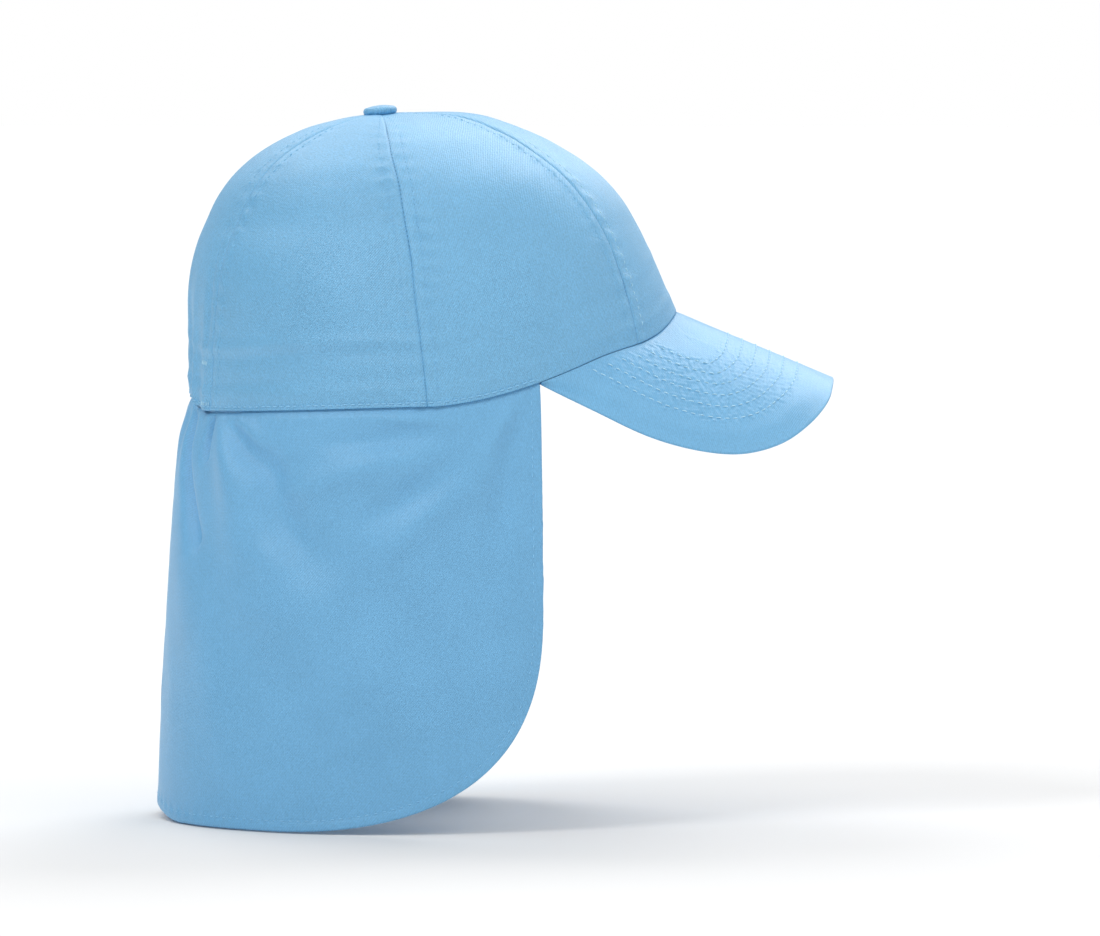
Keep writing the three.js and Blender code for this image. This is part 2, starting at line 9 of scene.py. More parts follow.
import bpy
import numpy as np
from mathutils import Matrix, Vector


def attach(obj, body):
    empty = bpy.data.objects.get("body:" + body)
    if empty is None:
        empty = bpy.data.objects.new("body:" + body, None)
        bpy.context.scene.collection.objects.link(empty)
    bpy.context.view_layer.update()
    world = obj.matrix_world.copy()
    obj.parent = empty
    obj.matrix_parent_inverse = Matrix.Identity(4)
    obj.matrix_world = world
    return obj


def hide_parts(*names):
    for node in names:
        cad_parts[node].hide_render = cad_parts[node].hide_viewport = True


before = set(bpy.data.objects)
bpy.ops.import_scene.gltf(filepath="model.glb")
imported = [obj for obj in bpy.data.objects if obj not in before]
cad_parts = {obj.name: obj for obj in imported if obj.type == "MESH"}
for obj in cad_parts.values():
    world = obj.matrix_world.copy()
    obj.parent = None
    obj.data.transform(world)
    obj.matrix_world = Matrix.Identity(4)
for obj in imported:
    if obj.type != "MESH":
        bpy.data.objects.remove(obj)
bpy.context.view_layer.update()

MM = 0.001

# Sizes of the part
HEAD_HALF_LENGTH = 98.2
HEAD_HALF_WIDTH = 80
CROWN_HEIGHT = 113.9
BUTTON_SETBACK = 20
RIM_FRONT_RISE = 34.8
RIM_FRONT_DIP = 3.6
RIM_FRONT_DIP_DEG = 50
RIM_BACK_DROP = 4.1
BACK_ARCH_RISE = 6
HEM_ARCH_RISE = 4.5
BACK_ARCH_HALF_DEG = 24
RIM_FRONT_POWER = 1.65
RIM_BACK_POWER = 1.2
RIM_SHAPE_POWER = 3
PEAK_CORNER_DEG = 63
PEAK_LENGTH = 68.2
PEAK_PITCH_DEG = 22.8
PEAK_BEND_RADIUS = 53
PEAK_THICKNESS = 3
FLAP_DROP = 166.6
FLAP_FRONT_EDGE = 88
FLAP_CORNER_REACH = 110
FLAP_BACK_FLARE = 14.2
FLAP_SIDE_FLARE = 4
FLAP_FRONT_FLARE = 5
CORNER_POWER = 2.5
FLARE_POWER = 0.4
CROWN_LAYER = 1.8  # the crown's cloth and the room to the layer inside it
SEWN_TUCK = 6
BUTTON_RADIUS = 6.75
BUTTON_LEAN_DEG = 2
SWEATBAND_HEIGHT = 24

# Cloth and thread
CLOTH = 1.1
HEM_CLOTH = 1.5
BAND_CLOTH = 1.0
BAND_LAYER = 3.5  # how far the band's outer side lies inside the crown at the rim
TOPSTITCH = 4.8  # from a seam to the rows of stitches beside it
RIM_STITCH = 1.7  # above the rim's edge
HEM_STITCH = 4.2  # inside the flap's edge
PEAK_ROW_FIRST = 15.8  # from the peak's edge to its outermost row of stitches
PEAK_ROW_STEP = 6
PEAK_ROWS = 6
PEAK_ROLL = 10  # how far from its edge the peak starts to grow thin
PEAK_EDGE_HALF = 0.65
PUCKER_PITCH = 3.2  # of the fine puckers along the topstitching
TOPSTITCH_START = 5  # above the rim
TOPSTITCH_STOP = 26  # below the button
SIDE_TOPSTITCH_STOP = 9  # below the button, beside the side seams
FRONT_TOPSTITCH_END = 100  # up from the rim
LADDER_START = 62  # up from the rim, where the thread in the side seams starts to show
BARTACK_STEP = 0.9

# Stitches: length, from one to the next, and radius of the thread.
FRONT_TOPSTITCHES = (1.7, 3.1, 0.2)
SEAM_TOPSTITCHES = (1.5, 3.1, 0.16)
LADDER_STITCHES = (0.9, 2.0, 0.15)
RIM_STITCHES = (2.1, 3.1, 0.27)
BARTACK_STITCHES = (1.8, 1.5, 0.18)
PEAK_STITCHES = (2.2, 3.5, 0.24)
HEM_STITCHES = (1.5, 3.5, 0.18)
BAND_STITCHES = (2.6, 3.5, 0.2)
STITCH_SIDES = 6

# Sections of a stitch: place along it, share of the thread's radius, and lift in radii.
STITCH_FORM = [
    (-0.5, 0.25, -0.9),
    (-0.42, 0.75, -0.35),
    (-0.2, 1.0, 0.25),
    (0.2, 1.0, 0.25),
    (0.42, 0.75, -0.35),
    (0.5, 0.25, -0.9),
]

# Rows of the thread that shows in the side seams: from the seam, end up from the rim, and lift.
LADDER_ROWS = [
    (0.02, 128, -0.05),
    (TOPSTITCH, 122, -0.08),
]

# Bartacks on the back panel: from and to above the rim, then from and to beside each of its seams.
BARTACKS = [
    (1.6, 4.0, 1.2, 7.2),
    (18.2, 20.0, 4.0, 8.6),
]

# Sections of the crown from the rim to the button, as in the part: how far out and how far up it is at
# the front, the sides and the back, in shares, how far its widest place has moved towards the button,
# and the turns of the front and back seams.
CROWN_SECTIONS = [
    (1.0, 0.0, 1.0, 0.0, 0.972, 0.0, 0.0, 33, 155),
    (0.95, 0.14, 1.003, 0.186, 0.979, 0.214, 0.11, 31.5, 152),
    (0.9, 0.281, 0.988, 0.361, 0.983, 0.383, 0.24, 31, 149),
    (0.841, 0.43, 0.945, 0.518, 0.96, 0.522, 0.33, 31.5, 148),
    (0.774, 0.57, 0.88, 0.65, 0.902, 0.657, 0.465, 33, 147),
    (0.677, 0.7, 0.78, 0.759, 0.814, 0.772, 0.57, 34, 145),
    (0.54, 0.818, 0.65, 0.847, 0.692, 0.867, 0.71, 34.5, 143),
    (0.377, 0.921, 0.495, 0.917, 0.54, 0.936, 0.8, 34.5, 142),
    (0.148, 1.0, 0.3, 0.969, 0.382, 0.976, 0.885, 34.5, 141),
]

# Half of the peak's edge from its tip to its corner, as in the part: forward and sideways shares.
PEAK_EDGE = [
    (1.0, 0.0),
    (0.995, 0.22),
    (0.976, 0.42),
    (0.92, 0.615),
    (0.828, 0.79),
    (0.7, 0.919),
    (0.55, 0.991),
    (0.37, 1.024),
    (0.18, 1.014),
    (0.0, 1.0),
]

# Folds of the flap, seen from the side: forward and up at both ends, half width and depth. A valley has
# a negative depth.
FLAP_FOLDS = [
    (-92, 2, -93.5, -54, 3.6, -6.4),
    (-83.5, 0, -89, -21, 2.2, -4.8),
    (-78, -2, -66, -15, 3.2, 2.0),
    (-80, -12, -75, -46, 8, 4.2),
    (-78, -7, -62, -26, 4.5, -2.6),
    (-62, -26, -48, -60, 8, -3.2),
    (-50, -3, 8, -7, 3.0, 2.0),
    (-35, -14, 5, -8, 4.5, -1.8),
    (-49, -33, -1, -20, 6.5, 2.4),
    (-21, -42, 5, -26, 5.5, -1.9),
    (-11, -53, 20, -27, 6.5, 2.2),
    (26, -13, 38, 3, 4.5, 1.6),
    (38, 2, 29, -38, 5.0, -1.6),
    (29, -38, 27, -62, 7.0, -1.4),
    (-66, -76, -35, -98, 15, 2.8),
    (-95, -70, -80, -140, 13, 1.9),
    (-72, -58, -40, -70, 9, 1.8),
    (-30, -66, 10, -96, 14, -2.0),
]

# Creases beside the seams of a side: panel, which of its seams, from and to in millimetres up from the
# rim, pitch, reach from the seam, and depth.
CREASES = [
    ("front_side", "side", 42, 80, 7.0, 15, 0.4),
    ("back_side", "side", 70, 100, 7.6, 12, 0.34),
    ("front_side", "front", 36, 112, 8.6, 10, 0.26),
    ("front", "front", 20, 110, 8.6, 7, 0.2),
    ("back_side", "back", 22, 90, 8.0, 8, 0.24),
]

# Soft dents of the crown's sides, seen from the side: forward and up, half length, half height, depth.
DENTS = [
    (-52, 71, 34, 8, -1.5),
    (-40, 90, 26, 9, 0.9),
    (-50, 47, 30, 12, 1.0),
    (22, 84, 30, 9, 0.5),
    (18, 62, 30, 11, -0.7),
    (62, 62, 12, 16, 0.3),
]

TURN = 2 * math.pi
STEP = 1e-3


def smooth(x, low, high):
    t = np.clip((x - low) / (high - low), 0, 1)
    return t * t * (3 - 2 * t)


def hump(x, width):
    return np.exp(-((x / width) ** 2))


def unit(v):
    return v / np.linalg.norm(v, axis=-1, keepdims=True)


def lerp(a, b, t):
    return a + (b - a) * t


def distance_along(line):
    return np.concatenate([[0], np.cumsum(np.linalg.norm(np.diff(line, axis=0), axis=1))])


def distance_up(grid):
    """How far each point of a grid lies up its own column."""
    rise = np.linalg.norm(np.diff(grid, axis=1), axis=2)
    return np.concatenate([np.zeros((len(grid), 1)), np.cumsum(rise, axis=1)], axis=1)


def vectors_at(x, places, vectors):
    """The vectors at x, between those that are given at places."""
    return np.stack([np.interp(x, places, values) for values in vectors.T], -1)


def nearest_on(line, run, points):
    """How far points lie from a line, and how far along it the places nearest to them are."""
    away, along = np.full(points.shape[:-1], 1e9), np.zeros(points.shape[:-1])
    for a, b, start in zip(line[:-1], line[1:], run):
        size = float(np.linalg.norm(b - a))
        t = np.clip((points - a) @ (b - a) / size**2, 0, 1)
        gap = np.linalg.norm(points - a - t[..., None] * (b - a), axis=-1)
        along = np.where(gap < away, start + t * size, along)
        away = np.minimum(away, gap)
    return away, along


def place(forward, left, up):
    return np.stack([left + 0 * up, -forward + 0 * up, up + 0 * left], -1)


def unevenness(a, b, size, seed):
    """A soft, irregular wave between about -1 and 1 over two lengths, with lumps of about that size."""
    k = TURN / size
    return (
        np.sin(k * (0.71 * a + 0.41 * b) + seed)
        + np.sin(k * (0.37 * a - 0.83 * b) + 2.1 * seed + 1.3)
        + np.sin(k * (1.27 * a + 0.23 * b) + 0.7 * seed + 4.1)
        + np.sin(k * (-0.19 * a + 1.09 * b) + 1.6 * seed + 2.2)
    ) / 4


def along_rows(rows, share):
    """A smooth run through rows, of which the first and the last lie just outside its ends."""
    last = len(rows) - 3
    i = np.clip(np.floor(share * last).astype(int), 0, last - 1)
    t = (share * last - i)[..., None]
    before, start, end, after = (rows[i + k] for k in range(4))
    leave, arrive = (end - before) / 2, (after - start) / 2
    cube = 2 * start - 2 * end + leave + arrive
    square = 3 * end - 3 * start - 2 * leave - arrive
    return ((cube * t + square) * t + leave) * t + start


# Crown


def crown_rows():
    rows = [
        [
            front * HEAD_HALF_LENGTH,
            lerp(RIM_FRONT_RISE, CROWN_HEIGHT, front_up),
            side * HEAD_HALF_WIDTH,
            CROWN_HEIGHT * side_up,
            back * HEAD_HALF_LENGTH,
            lerp(-RIM_BACK_DROP, CROWN_HEIGHT, back_up),
            -lean * BUTTON_SETBACK,
            math.radians(front_seam),
            math.radians(back_seam),
        ]
        for front, front_up, side, side_up, back, back_up, lean, front_seam, back_seam in CROWN_SECTIONS
    ]
    top = rows[-1]
    apex = [-BUTTON_SETBACK, CROWN_HEIGHT, 0, CROWN_HEIGHT, BUTTON_SETBACK, CROWN_HEIGHT, -BUTTON_SETBACK]
    apex = [*apex, *top[7:]]
    beyond = [-top[4], top[5], -top[2], top[3], -top[0], top[1], 2 * apex[6] - top[6], *top[7:]]
    below = [2 * a - b for a, b in zip(rows[0], rows[1])]
    return np.array([below, *rows, apex, beyond], float)


CROWN = crown_rows()


def rim_shape(turn):
    from_back = np.arccos(np.clip(-np.cos(turn), -1, 1))
    half = math.radians(BACK_ARCH_HALF_DEG)
    arch = np.where(from_back < half, 0.5 + 0.5 * np.cos(math.pi * from_back / half), 0)
    from_front = np.arccos(np.clip(np.cos(turn), -1, 1))
    reach = math.radians(RIM_FRONT_DIP_DEG)
    dip = np.where(from_front < reach, np.sin(math.pi * from_front / reach) ** 2, 0)
    return BACK_ARCH_RISE * arch - RIM_FRONT_DIP * dip, arch


def sweep(turn, front, side, back):
    ahead = np.cos(turn)
    share = np.abs(ahead) ** np.where(ahead > 0, RIM_FRONT_POWER, RIM_BACK_POWER)
    return side + (np.where(ahead > 0, front, back) - side) * share


def crown(turn, height):
    s = along_rows(CROWN, height)
    front, front_up, side, side_up, back, back_up, middle = (s[..., k] for k in range(7))
    ahead = np.cos(turn)
    reach = np.where(ahead > 0, front - middle, back + middle)
    up = sweep(turn, front_up, side_up, back_up)
    up = up + rim_shape(turn)[0] * np.clip(1 - height, 0, None) ** RIM_SHAPE_POWER
    return place(middle + reach * ahead, side * np.sin(turn), up)


def crown_normal(turn, height):
    along = crown(turn + STEP, height) - crown(turn - STEP, height)
    upward = crown(turn, height + STEP) - crown(turn, height - STEP)
    return unit(np.cross(along, upward))


def rim_point(turn):
    return crown(turn, np.zeros_like(turn))


# Meshes


def make_piece(name, points, faces, uv=None, sharp=48):
    mesh = bpy.data.meshes.new(name)
    mesh.from_pydata((np.asarray(points) * MM).tolist(), [], np.asarray(faces).tolist())
    mesh.validate()
    if uv is not None:
        layer = mesh.uv_layers.new(name="cloth")
        corner = np.zeros(len(mesh.loops), np.int32)
        mesh.loops.foreach_get("vertex_index", corner)
        layer.data.foreach_set("uv", np.asarray(uv, np.float32)[corner].ravel())
    mesh.polygons.foreach_set("use_smooth", np.ones(len(mesh.polygons), bool))
    mesh.set_sharp_from_angle(angle=math.radians(sharp))
    piece = bpy.data.objects.new(name, mesh)
    bpy.context.scene.collection.objects.link(piece)
    return piece


def grid_faces(columns, rows, first=0, closed=False, flip=False):
    spans = columns if closed else columns - 1
    i, j = np.meshgrid(np.arange(spans), np.arange(rows - 1), indexing="ij")
    k = (i + 1) % columns
    quad = np.stack([i * rows + j, k * rows + j, k * rows + j + 1, i * rows + j + 1], -1).reshape(-1, 4)
    quad = quad + first
    return quad[:, ::-1] if flip else quad


def sheet_piece(name, outer, inner, uv, closed=False):
    """A closed sheet of cloth from the grids of its outer and inner faces."""
    columns, rows = outer.shape[:2]
    count = columns * rows
    points = np.concatenate([outer.reshape(-1, 3), inner.reshape(-1, 3)])
    faces = [grid_faces(columns, rows, 0, closed), grid_faces(columns, rows, count, closed, True)]

    def add_edge(a, b, flip):
        strip = np.stack([a, b, b + count, a + count], -1)
        faces.append(strip[:, ::-1] if flip else strip)

    spans = np.arange(columns if closed else columns - 1)
    after = (spans + 1) % columns
    add_edge(spans * rows, after * rows, True)
    add_edge(spans * rows + rows - 1, after * rows + rows - 1, False)
    if not closed:
        first = np.arange(rows - 1)
        last = first + (columns - 1) * rows
        add_edge(first, first + 1, False)
        add_edge(last, last + 1, True)
    both = np.concatenate([uv.reshape(-1, 2)] * 2)
    return make_piece(name, points, np.concatenate(faces), both)


def round_edge(distance, wall):
    """Half the thickness of cloth at a distance from its edge, which is round."""
    radius = wall / 2
    t = np.clip(distance / radius, 0.0015, 1)
    return radius * np.sqrt(1 - (1 - t) ** 2)


def stitches(name, paths, length, pitch, radius):
    """Short lengths of thread along paths, each path being points with their normals."""
    ring = np.arange(STITCH_SIDES) * TURN / STITCH_SIDES
    points, faces = [], []
    for path, normals in paths:
        run = distance_along(path)
        count = int(run[-1] // pitch)
        if count < 1:
            continue
        middles = (np.arange(count) + 0.5) * run[-1] / count
        centre, normal = vectors_at(middles, run, path), unit(vectors_at(middles, run, normals))
        ahead = unit(vectors_at(middles + 0.3, run, path) - vectors_at(middles - 0.3, run, path))
        side = unit(np.cross(normal, ahead))
        for c, n, t, b in zip(centre, normal, ahead, side):
            first = len(points) * len(STITCH_FORM) * STITCH_SIDES
            body = [
                c
                + t * length * share
                + (n * np.sin(ring)[:, None] + b * np.cos(ring)[:, None]) * radius * size
                + n * radius * lift
                for share, size, lift in STITCH_FORM
            ]
            points.append(np.concatenate(body))
            for j in range(len(STITCH_FORM) - 1):
                low, high = first + j * STITCH_SIDES, first + (j + 1) * STITCH_SIDES
                for k in range(STITCH_SIDES):
                    after = (k + 1) % STITCH_SIDES
                    faces.append((low + k, low + after, high + after, high + k))
    return make_piece(name, np.concatenate(points), faces, sharp=80)


def finish_piece(piece, material, nodes=()):
    piece.data.materials.append(material)
    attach(piece, "root")
    if nodes:
        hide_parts(*nodes)
    return piece


# Materials


def new_material(name):
    material = bpy.data.materials.new(name)
    material.use_nodes = True
    nodes = material.node_tree.nodes
    nodes.clear()
    output = nodes.new("ShaderNodeOutputMaterial")
    shader = nodes.new("ShaderNodeBsdfPrincipled")
    material.node_tree.links.new(shader.outputs["BSDF"], output.inputs["Surface"])
    return material, material.node_tree, shader


def add_node(tree, kind, output, inputs, **settings):
    """Adds a node to a tree. Its inputs get a value or another node's output, and its output is returned."""
    node = tree.nodes.new("ShaderNode" + kind)
    for name, value in settings.items():
        setattr(node, name, value)
    feed(tree, node, inputs)
    return node.outputs[output]


def feed(tree, node, inputs):
    for name, value in inputs.items():
        if isinstance(value, bpy.types.NodeSocket):
            tree.links.new(value, node.inputs[name])
        else:
            node.inputs[name].default_value = value


def mapped(tree, value, from_range, to_range):
    """A value whose range from low to high becomes another range."""
    low, high = from_range
    to_low, to_high = to_range
    limits = {"From Min": low, "From Max": high, "To Min": to_low, "To Max": to_high}
    return add_node(tree, "MapRange", "Result", {"Value": value, **limits})


def twill(name, colour, rib=3.9, slant=0.66, depth=1.0, grain=1.0, shine=0.9):
    """Cotton twill: slanting ribs of a weave, crossed by its finer threads, with uneven dye and fuzz."""
    material, tree, shader = new_material(name)
    flat = add_node(tree, "UVMap", "UV", {}, uv_map="cloth")
    turned = add_node(tree, "Mapping", "Vector", {"Vector": flat, "Rotation": (0, 0, slant)})
    bands = {"wave_type": "BANDS", "wave_profile": "SIN"}
    rib_form = {"Scale": rib, "Distortion": 0.6, "Detail": 1, "Detail Scale": 0.8, "Vector": turned}
    ribs = add_node(tree, "TexWave", "Fac", rib_form, bands_direction="X", **bands)
    thread_form = {"Scale": rib * 1.35, "Distortion": 0.4, "Vector": flat}
    threads = add_node(tree, "TexWave", "Fac", thread_form, bands_direction="Y", **bands)
    weave = add_node(tree, "Mix", "Result", {"Factor": 0.3, "A": ribs, "B": threads}, data_type="FLOAT")

    space = add_node(tree, "TexCoord", "Object", {})
    dye = add_node(tree, "TexNoise", "Fac", {"Scale": 38, "Detail": 4, "Roughness": 0.6, "Vector": space})
    fuzz = add_node(tree, "TexNoise", "Fac", {"Scale": 1300, "Detail": 2, "Vector": space})

    pale = [min(1, c * 1.03 + 0.003) for c in colour]
    deep = [c * 0.97 for c in colour]
    uneven = mapped(tree, dye, (0.3, 0.7), (0, 1))
    tones = {"Factor": uneven, "A": (*deep, 1), "B": (*pale, 1)}
    tone = add_node(tree, "Mix", "Result", tones, data_type="RGBA")
    shade = mapped(tree, weave, (0, 1), (1 - 0.2 * grain, 1 + 0.13 * grain))
    fleck = mapped(tree, fuzz, (0.3, 0.7), (1 - 0.24 * grain, 1 + 0.24 * grain))
    amount = add_node(tree, "Math", "Value", {0: shade, 1: fleck}, operation="MULTIPLY")
    final = add_node(tree, "VectorMath", "Vector", {0: tone, "Scale": amount}, operation="SCALE")
    relief = add_node(tree, "Math", "Value", {0: fuzz, 1: 1.9, 2: weave}, operation="MULTIPLY_ADD")
    bump_form = {"Strength": 0.9 * depth, "Distance": 0.00016, "Height": relief}
    look = {
        "Base Color": final,
        "Roughness": mapped(tree, weave, (0, 1), (0.46, 0.38)),
        "Normal": add_node(tree, "Bump", "Normal", bump_form),
        "Specular IOR Level": shine,
        "Sheen Weight": 0.06,
        "Sheen Roughness": 0.45,
        "Sheen Tint": (0.85, 0.93, 1, 1),
    }
    feed(tree, shader, look)
    return material


def thread_material(name, colour):
    """Polyester thread in the colour it is given, with the light and dark of its twist."""
    material, tree, shader = new_material(name)
    space = add_node(tree, "TexCoord", "Object", {})
    twist = add_node(tree, "TexNoise", "Fac", {"Scale": 1500, "Detail": 2, "Vector": space})
    dark = (*[c * 0.85 for c in colour], 1)
    light = (*[min(1, c * 1.12) for c in colour], 1)
    tone = add_node(tree, "Mix", "Result", {"Factor": twist, "A": dark, "B": light}, data_type="RGBA")
    bump_form = {"Strength": 0.3, "Distance": 0.0001, "Height": twist}
    look = {
        "Base Color": tone,
        "Normal": add_node(tree, "Bump", "Normal", bump_form),
        "Roughness": 0.45,
        "Sheen Weight": 0.15,
    }
    feed(tree, shader, look)
    return material


CLOTH_BLUE = (0.15, 0.438, 0.71)
# The flap's and the peak's blues are the crown's cloth, each retuned for the light that falls on that part:
# painted light and painted shade in their colour.
FLAP_BLUE = (0.163, 0.43, 0.698)
PEAK_BLUE = (0.148, 0.418, 0.682)
BAND_BLUE = (0.17, 0.46, 0.73)
# The light thread's blue is partly the thread's own light colour and partly a painted highlight, for the
# light its stitches catch.
THREAD_BLUE = (0.44, 0.74, 0.94)
HEM_THREAD_BLUE = (0.26, 0.58, 0.84)
SEAM_THREAD_BLUE = (0.2, 0.5, 0.77)
# A near-black blue thread: the seam's own thread, painted dark as painted shade for the shaded gaps of the
# side seams.
PAINTED_SHADE_THREAD_BLUE = (0.05, 0.2, 0.38)
cloth = twill("twill", CLOTH_BLUE, depth=0.85, grain=0.5)
# The flap's and the peak's cloth differ from the crown's by painted light and shade in their blues.
flap_cloth = twill("flap_twill", FLAP_BLUE, depth=0.5, grain=0.35, shine=0.45)
peak_cloth = twill("peak_twill", PEAK_BLUE, slant=0.9, depth=0.5, grain=0.35, shine=0.6)
band_cloth = twill("band_cotton", BAND_BLUE, rib=5.5, slant=0.0, depth=0.6)
thread = thread_material("thread", THREAD_BLUE)
hem_thread = thread_material("hem_thread", HEM_THREAD_BLUE)
seam_thread = thread_material("seam_thread", SEAM_THREAD_BLUE)
painted_shade_thread = thread_material("painted_shade_thread", PAINTED_SHADE_THREAD_BLUE)


# Crown panels

NEAR_SEAM = np.array([0, 0.12, 0.3, 0.55, 0.85, 1.25, 1.8, 2.5, 3.2, 3.8, 4.3, 4.8, 5.3, 5.8, 6.5, 7.5, 9])
NEAR_RIM = np.array([0, 0.0006, 0.002, 0.0045, 0.0075, 0.0105, 0.0135, 0.018, 0.024])
ROWS = 118
COLUMNS = 28
BACK_COLUMNS = 62  # of the back panel, whose gathers need more
TOP = 0.985
FULL_WIDTH = 42  # narrower than this, a panel's columns lie closer together
LEAST_AREA_SHARE = 0.31  # a panel is a long triangle, with at least this share of its flat size
FRONT_SEAM, BACK_SEAM = 7, 8  # where a row of the crown holds their turns

# Where a seam's turn is counted from, and which way. The front panel counts both its seams from the front.
LEFT, RIGHT, RIGHT_OF_FRONT = (0, 1), (TURN, -1), (0, -1)

# Panels from the front round the wearer's left: kind, first seam and its side, last seam and its side, and
# a number that makes its creases its own.
PANELS = [
    ("front_panel", "front", "front", RIGHT_OF_FRONT, "front", LEFT, 0.4),
    ("front_side_panel_left", "front_side", "front", LEFT, "side", LEFT, 1.7),
    ("back_side_panel_left", "back_side", "side", LEFT, "back", LEFT, 2.9),
    ("back_panel", "back", "back", LEFT, "back", RIGHT, 4.2),
    ("back_side_panel_right", "back_side", "back", RIGHT, "side", RIGHT, 5.3),
    ("front_side_panel_right", "front_side", "side", RIGHT, "front", RIGHT, 0.9),
]


def seam_turn(row, seam, side):
    start, way = side
    turn = {"front": row[FRONT_SEAM], "side": TURN / 4, "back": row[BACK_SEAM]}[seam]
    return start + way * turn


def seam_relief(d, up, seed):
    """How far the cloth lies out beside a seam, d from it: it rolls into the seam, and the layers
    under the topstitched strip make it thicker there."""
    groove = -0.2 * hump(d, 0.25)
    strip = 0.32 * smooth(d, 0.1, 1.2) * (1 - smooth(d, TOPSTITCH - 0.2, TOPSTITCH + 1.9))
    row = -0.24 * hump(d - TOPSTITCH, 0.7)
    wave = np.sin(TURN * up / 8.3 + seed + 0.9 * np.sin(up / 17 + seed))
    pucker = 0.13 * wave * smooth(d, 0.4, 2) * (1 - smooth(d, 5, 10))
    tight = 0.05 * np.sin(TURN * up / PUCKER_PITCH + seed) * hump(d - TOPSTITCH, 1.2)
    return groove + strip + row + pucker + tight


def crease_relief(kind, seam, d, up):
    total = 0
    for panel, edge, low, high, pitch, reach, depth in CREASES:
        if (panel, edge) != (kind, seam):
            continue
        lean = up + 0.28 * d
        wave = 0.5 + 0.5 * np.sin(TURN * lean / pitch + 1.1 * np.sin(lean / 23 + low))
        live = smooth(up, low - 5, low + 6) * (1 - smooth(up, high - 8, high + 6))
        close = smooth(d, 0.6, 3.5) * (1 - smooth(d, reach * 0.45, reach))
        total += depth * (wave**1.6 * 2 - 0.8) * live * close
    return total


def panel_grid(from_seam, from_side, to_seam, to_side, middle_columns):
    """Turns and heights of a panel's grid, with its distances from both seams and up from the rim."""
    heights = np.concatenate([NEAR_RIM, lerp(NEAR_RIM[-1], TOP, np.linspace(0, 1, ROWS)[1:])])
    fine = np.linspace(0, 1, 90)
    turns, froms, tos = [], [], []
    for h in heights:
        row = along_rows(CROWN, np.array([h]))[0]
        a, b = seam_turn(row, from_seam, from_side), seam_turn(row, to_seam, to_side)
        run = distance_along(crown(lerp(a, b, fine), np.full_like(fine, h)))
        width = run[-1]
        near = NEAR_SEAM * min(1, width / FULL_WIDTH)
        between = np.linspace(near[-1], width - near[-1], middle_columns + 2)[1:-1]
        d = np.concatenate([near, between, (width - near)[::-1]])
        shares = np.interp(d, run, fine)
        gap = 0.03 / width
        turns.append(lerp(a, b, np.clip(shares, gap, 1 - gap)))
        froms.append(d)
        tos.append(width - d)
    turns, froms, tos = (np.array(v).T for v in (turns, froms, tos))
    levels = np.broadcast_to(heights, turns.shape)
    base = crown(turns, levels)
    return turns, levels, froms, tos, distance_up(base), base


def band_ridge(turn, up):
    """The ridges that the sweatband's upper edge and the sewn layers at the rim press into the crown."""
    side = np.abs(np.sin(turn))
    behind = smooth(-np.cos(turn), -0.15, 0.35)
    strength = 0.14 + 0.96 * behind * side
    line = 25.5 + 0.9 * np.sin(3.1 * turn + 0.6)
    ridge = strength * hump(up - line, 2.0) - 0.6 * strength * hump(up - line + 4.5, 2.6)
    sewn = 0.28 * hump(up - 7.2, 1.9) - 0.18 * hump(up - 11, 2.5)
    return ridge + 1.6 * sewn * (0.35 + 0.65 * behind)


def crown_panel(name, kind, from_seam, from_side, to_seam, to_side, seed):
    columns = BACK_COLUMNS if kind == "back" else COLUMNS
    turns, levels, froms, tos, up, base = panel_grid(from_seam, from_side, to_seam, to_side, columns)
    normal = crown_normal(turns, levels)
    width = froms + tos
    above = smooth(levels * CROWN_HEIGHT, 16, 39)
    from_sag, to_sag = (0.14 if seam == "front" else 0.4 for seam in (from_seam, to_seam))
    sag = -(from_sag * hump(froms, 6) + to_sag * hump(tos, 6)) * above
    flat = width / FULL_WIDTH
    calm = np.clip(flat, 0, 1)
    relief = sag + calm * (seam_relief(froms, up, seed) + seam_relief(tos, up, seed + 2))
    relief -= (1 - calm) * 0.2 * (hump(froms, 0.25) + hump(tos, 0.25))
    relief += crease_relief(kind, from_seam, froms, up) + crease_relief(kind, to_seam, tos, up)
    relief += band_ridge(turns, up)
    for forward, height, length, tall, depth in DENTS:
        relief += depth * hump(-base[..., 1] - forward, length) * hump(base[..., 2] - height, tall)
    relief += 0.22 * unevenness(froms, up, 46, seed) * smooth(up, 3, 20)
    relief += 0.07 * unevenness(froms, up, 15, seed + 3) * smooth(up, 3, 20)
    over_flap = 1 - smooth(np.cos(turns), 0.3, 0.5)
    relief -= 0.3 * over_flap * hump(up - RIM_STITCH, 0.8)
    relief += 0.07 * np.sin(TURN * froms / 6.4 + seed) * hump(up - RIM_STITCH, 3)
    if kind == "back":
        share = froms / width
        waves = 7 * share + 0.22 * np.sin(TURN * 1.4 * share + 1)
        fold = (0.5 - 0.5 * np.cos(TURN * waves)) ** 1.3
        fade = 1 - smooth(up, 8, 62 + 6 * np.sin(5.2 * TURN * share))
        uneven = 0.85 + 0.15 * np.sin(19 * share + up / 40)
        relief += (1.9 * fold * uneven - 0.2) * fade
        relief -= 0.25 * hump(up - 22, 2.4) * fade
        beside = hump(froms - 5.5, 2.2) + hump(tos - 5.5, 2.2)
        relief -= 1.5 * beside * hump(up - 38, 15)
    half = round_edge(up, CLOTH)
    middle = relief - CLOTH / 2
    outer = base + normal * (middle + half)[..., None]
    inner = base + normal * (middle - half)[..., None]
    uv = np.stack([(froms - tos) / 20, up / 10], -1)
    piece = sheet_piece(name + "_cloth", outer, inner, uv)
    finish_piece(piece, cloth, [name])
    area = float(np.sum(width[0, :-1] * np.diff(up[len(up) // 2])))
    return piece, (outer, normal, froms, tos, up), (float(width.max()), float(up.max()), area)


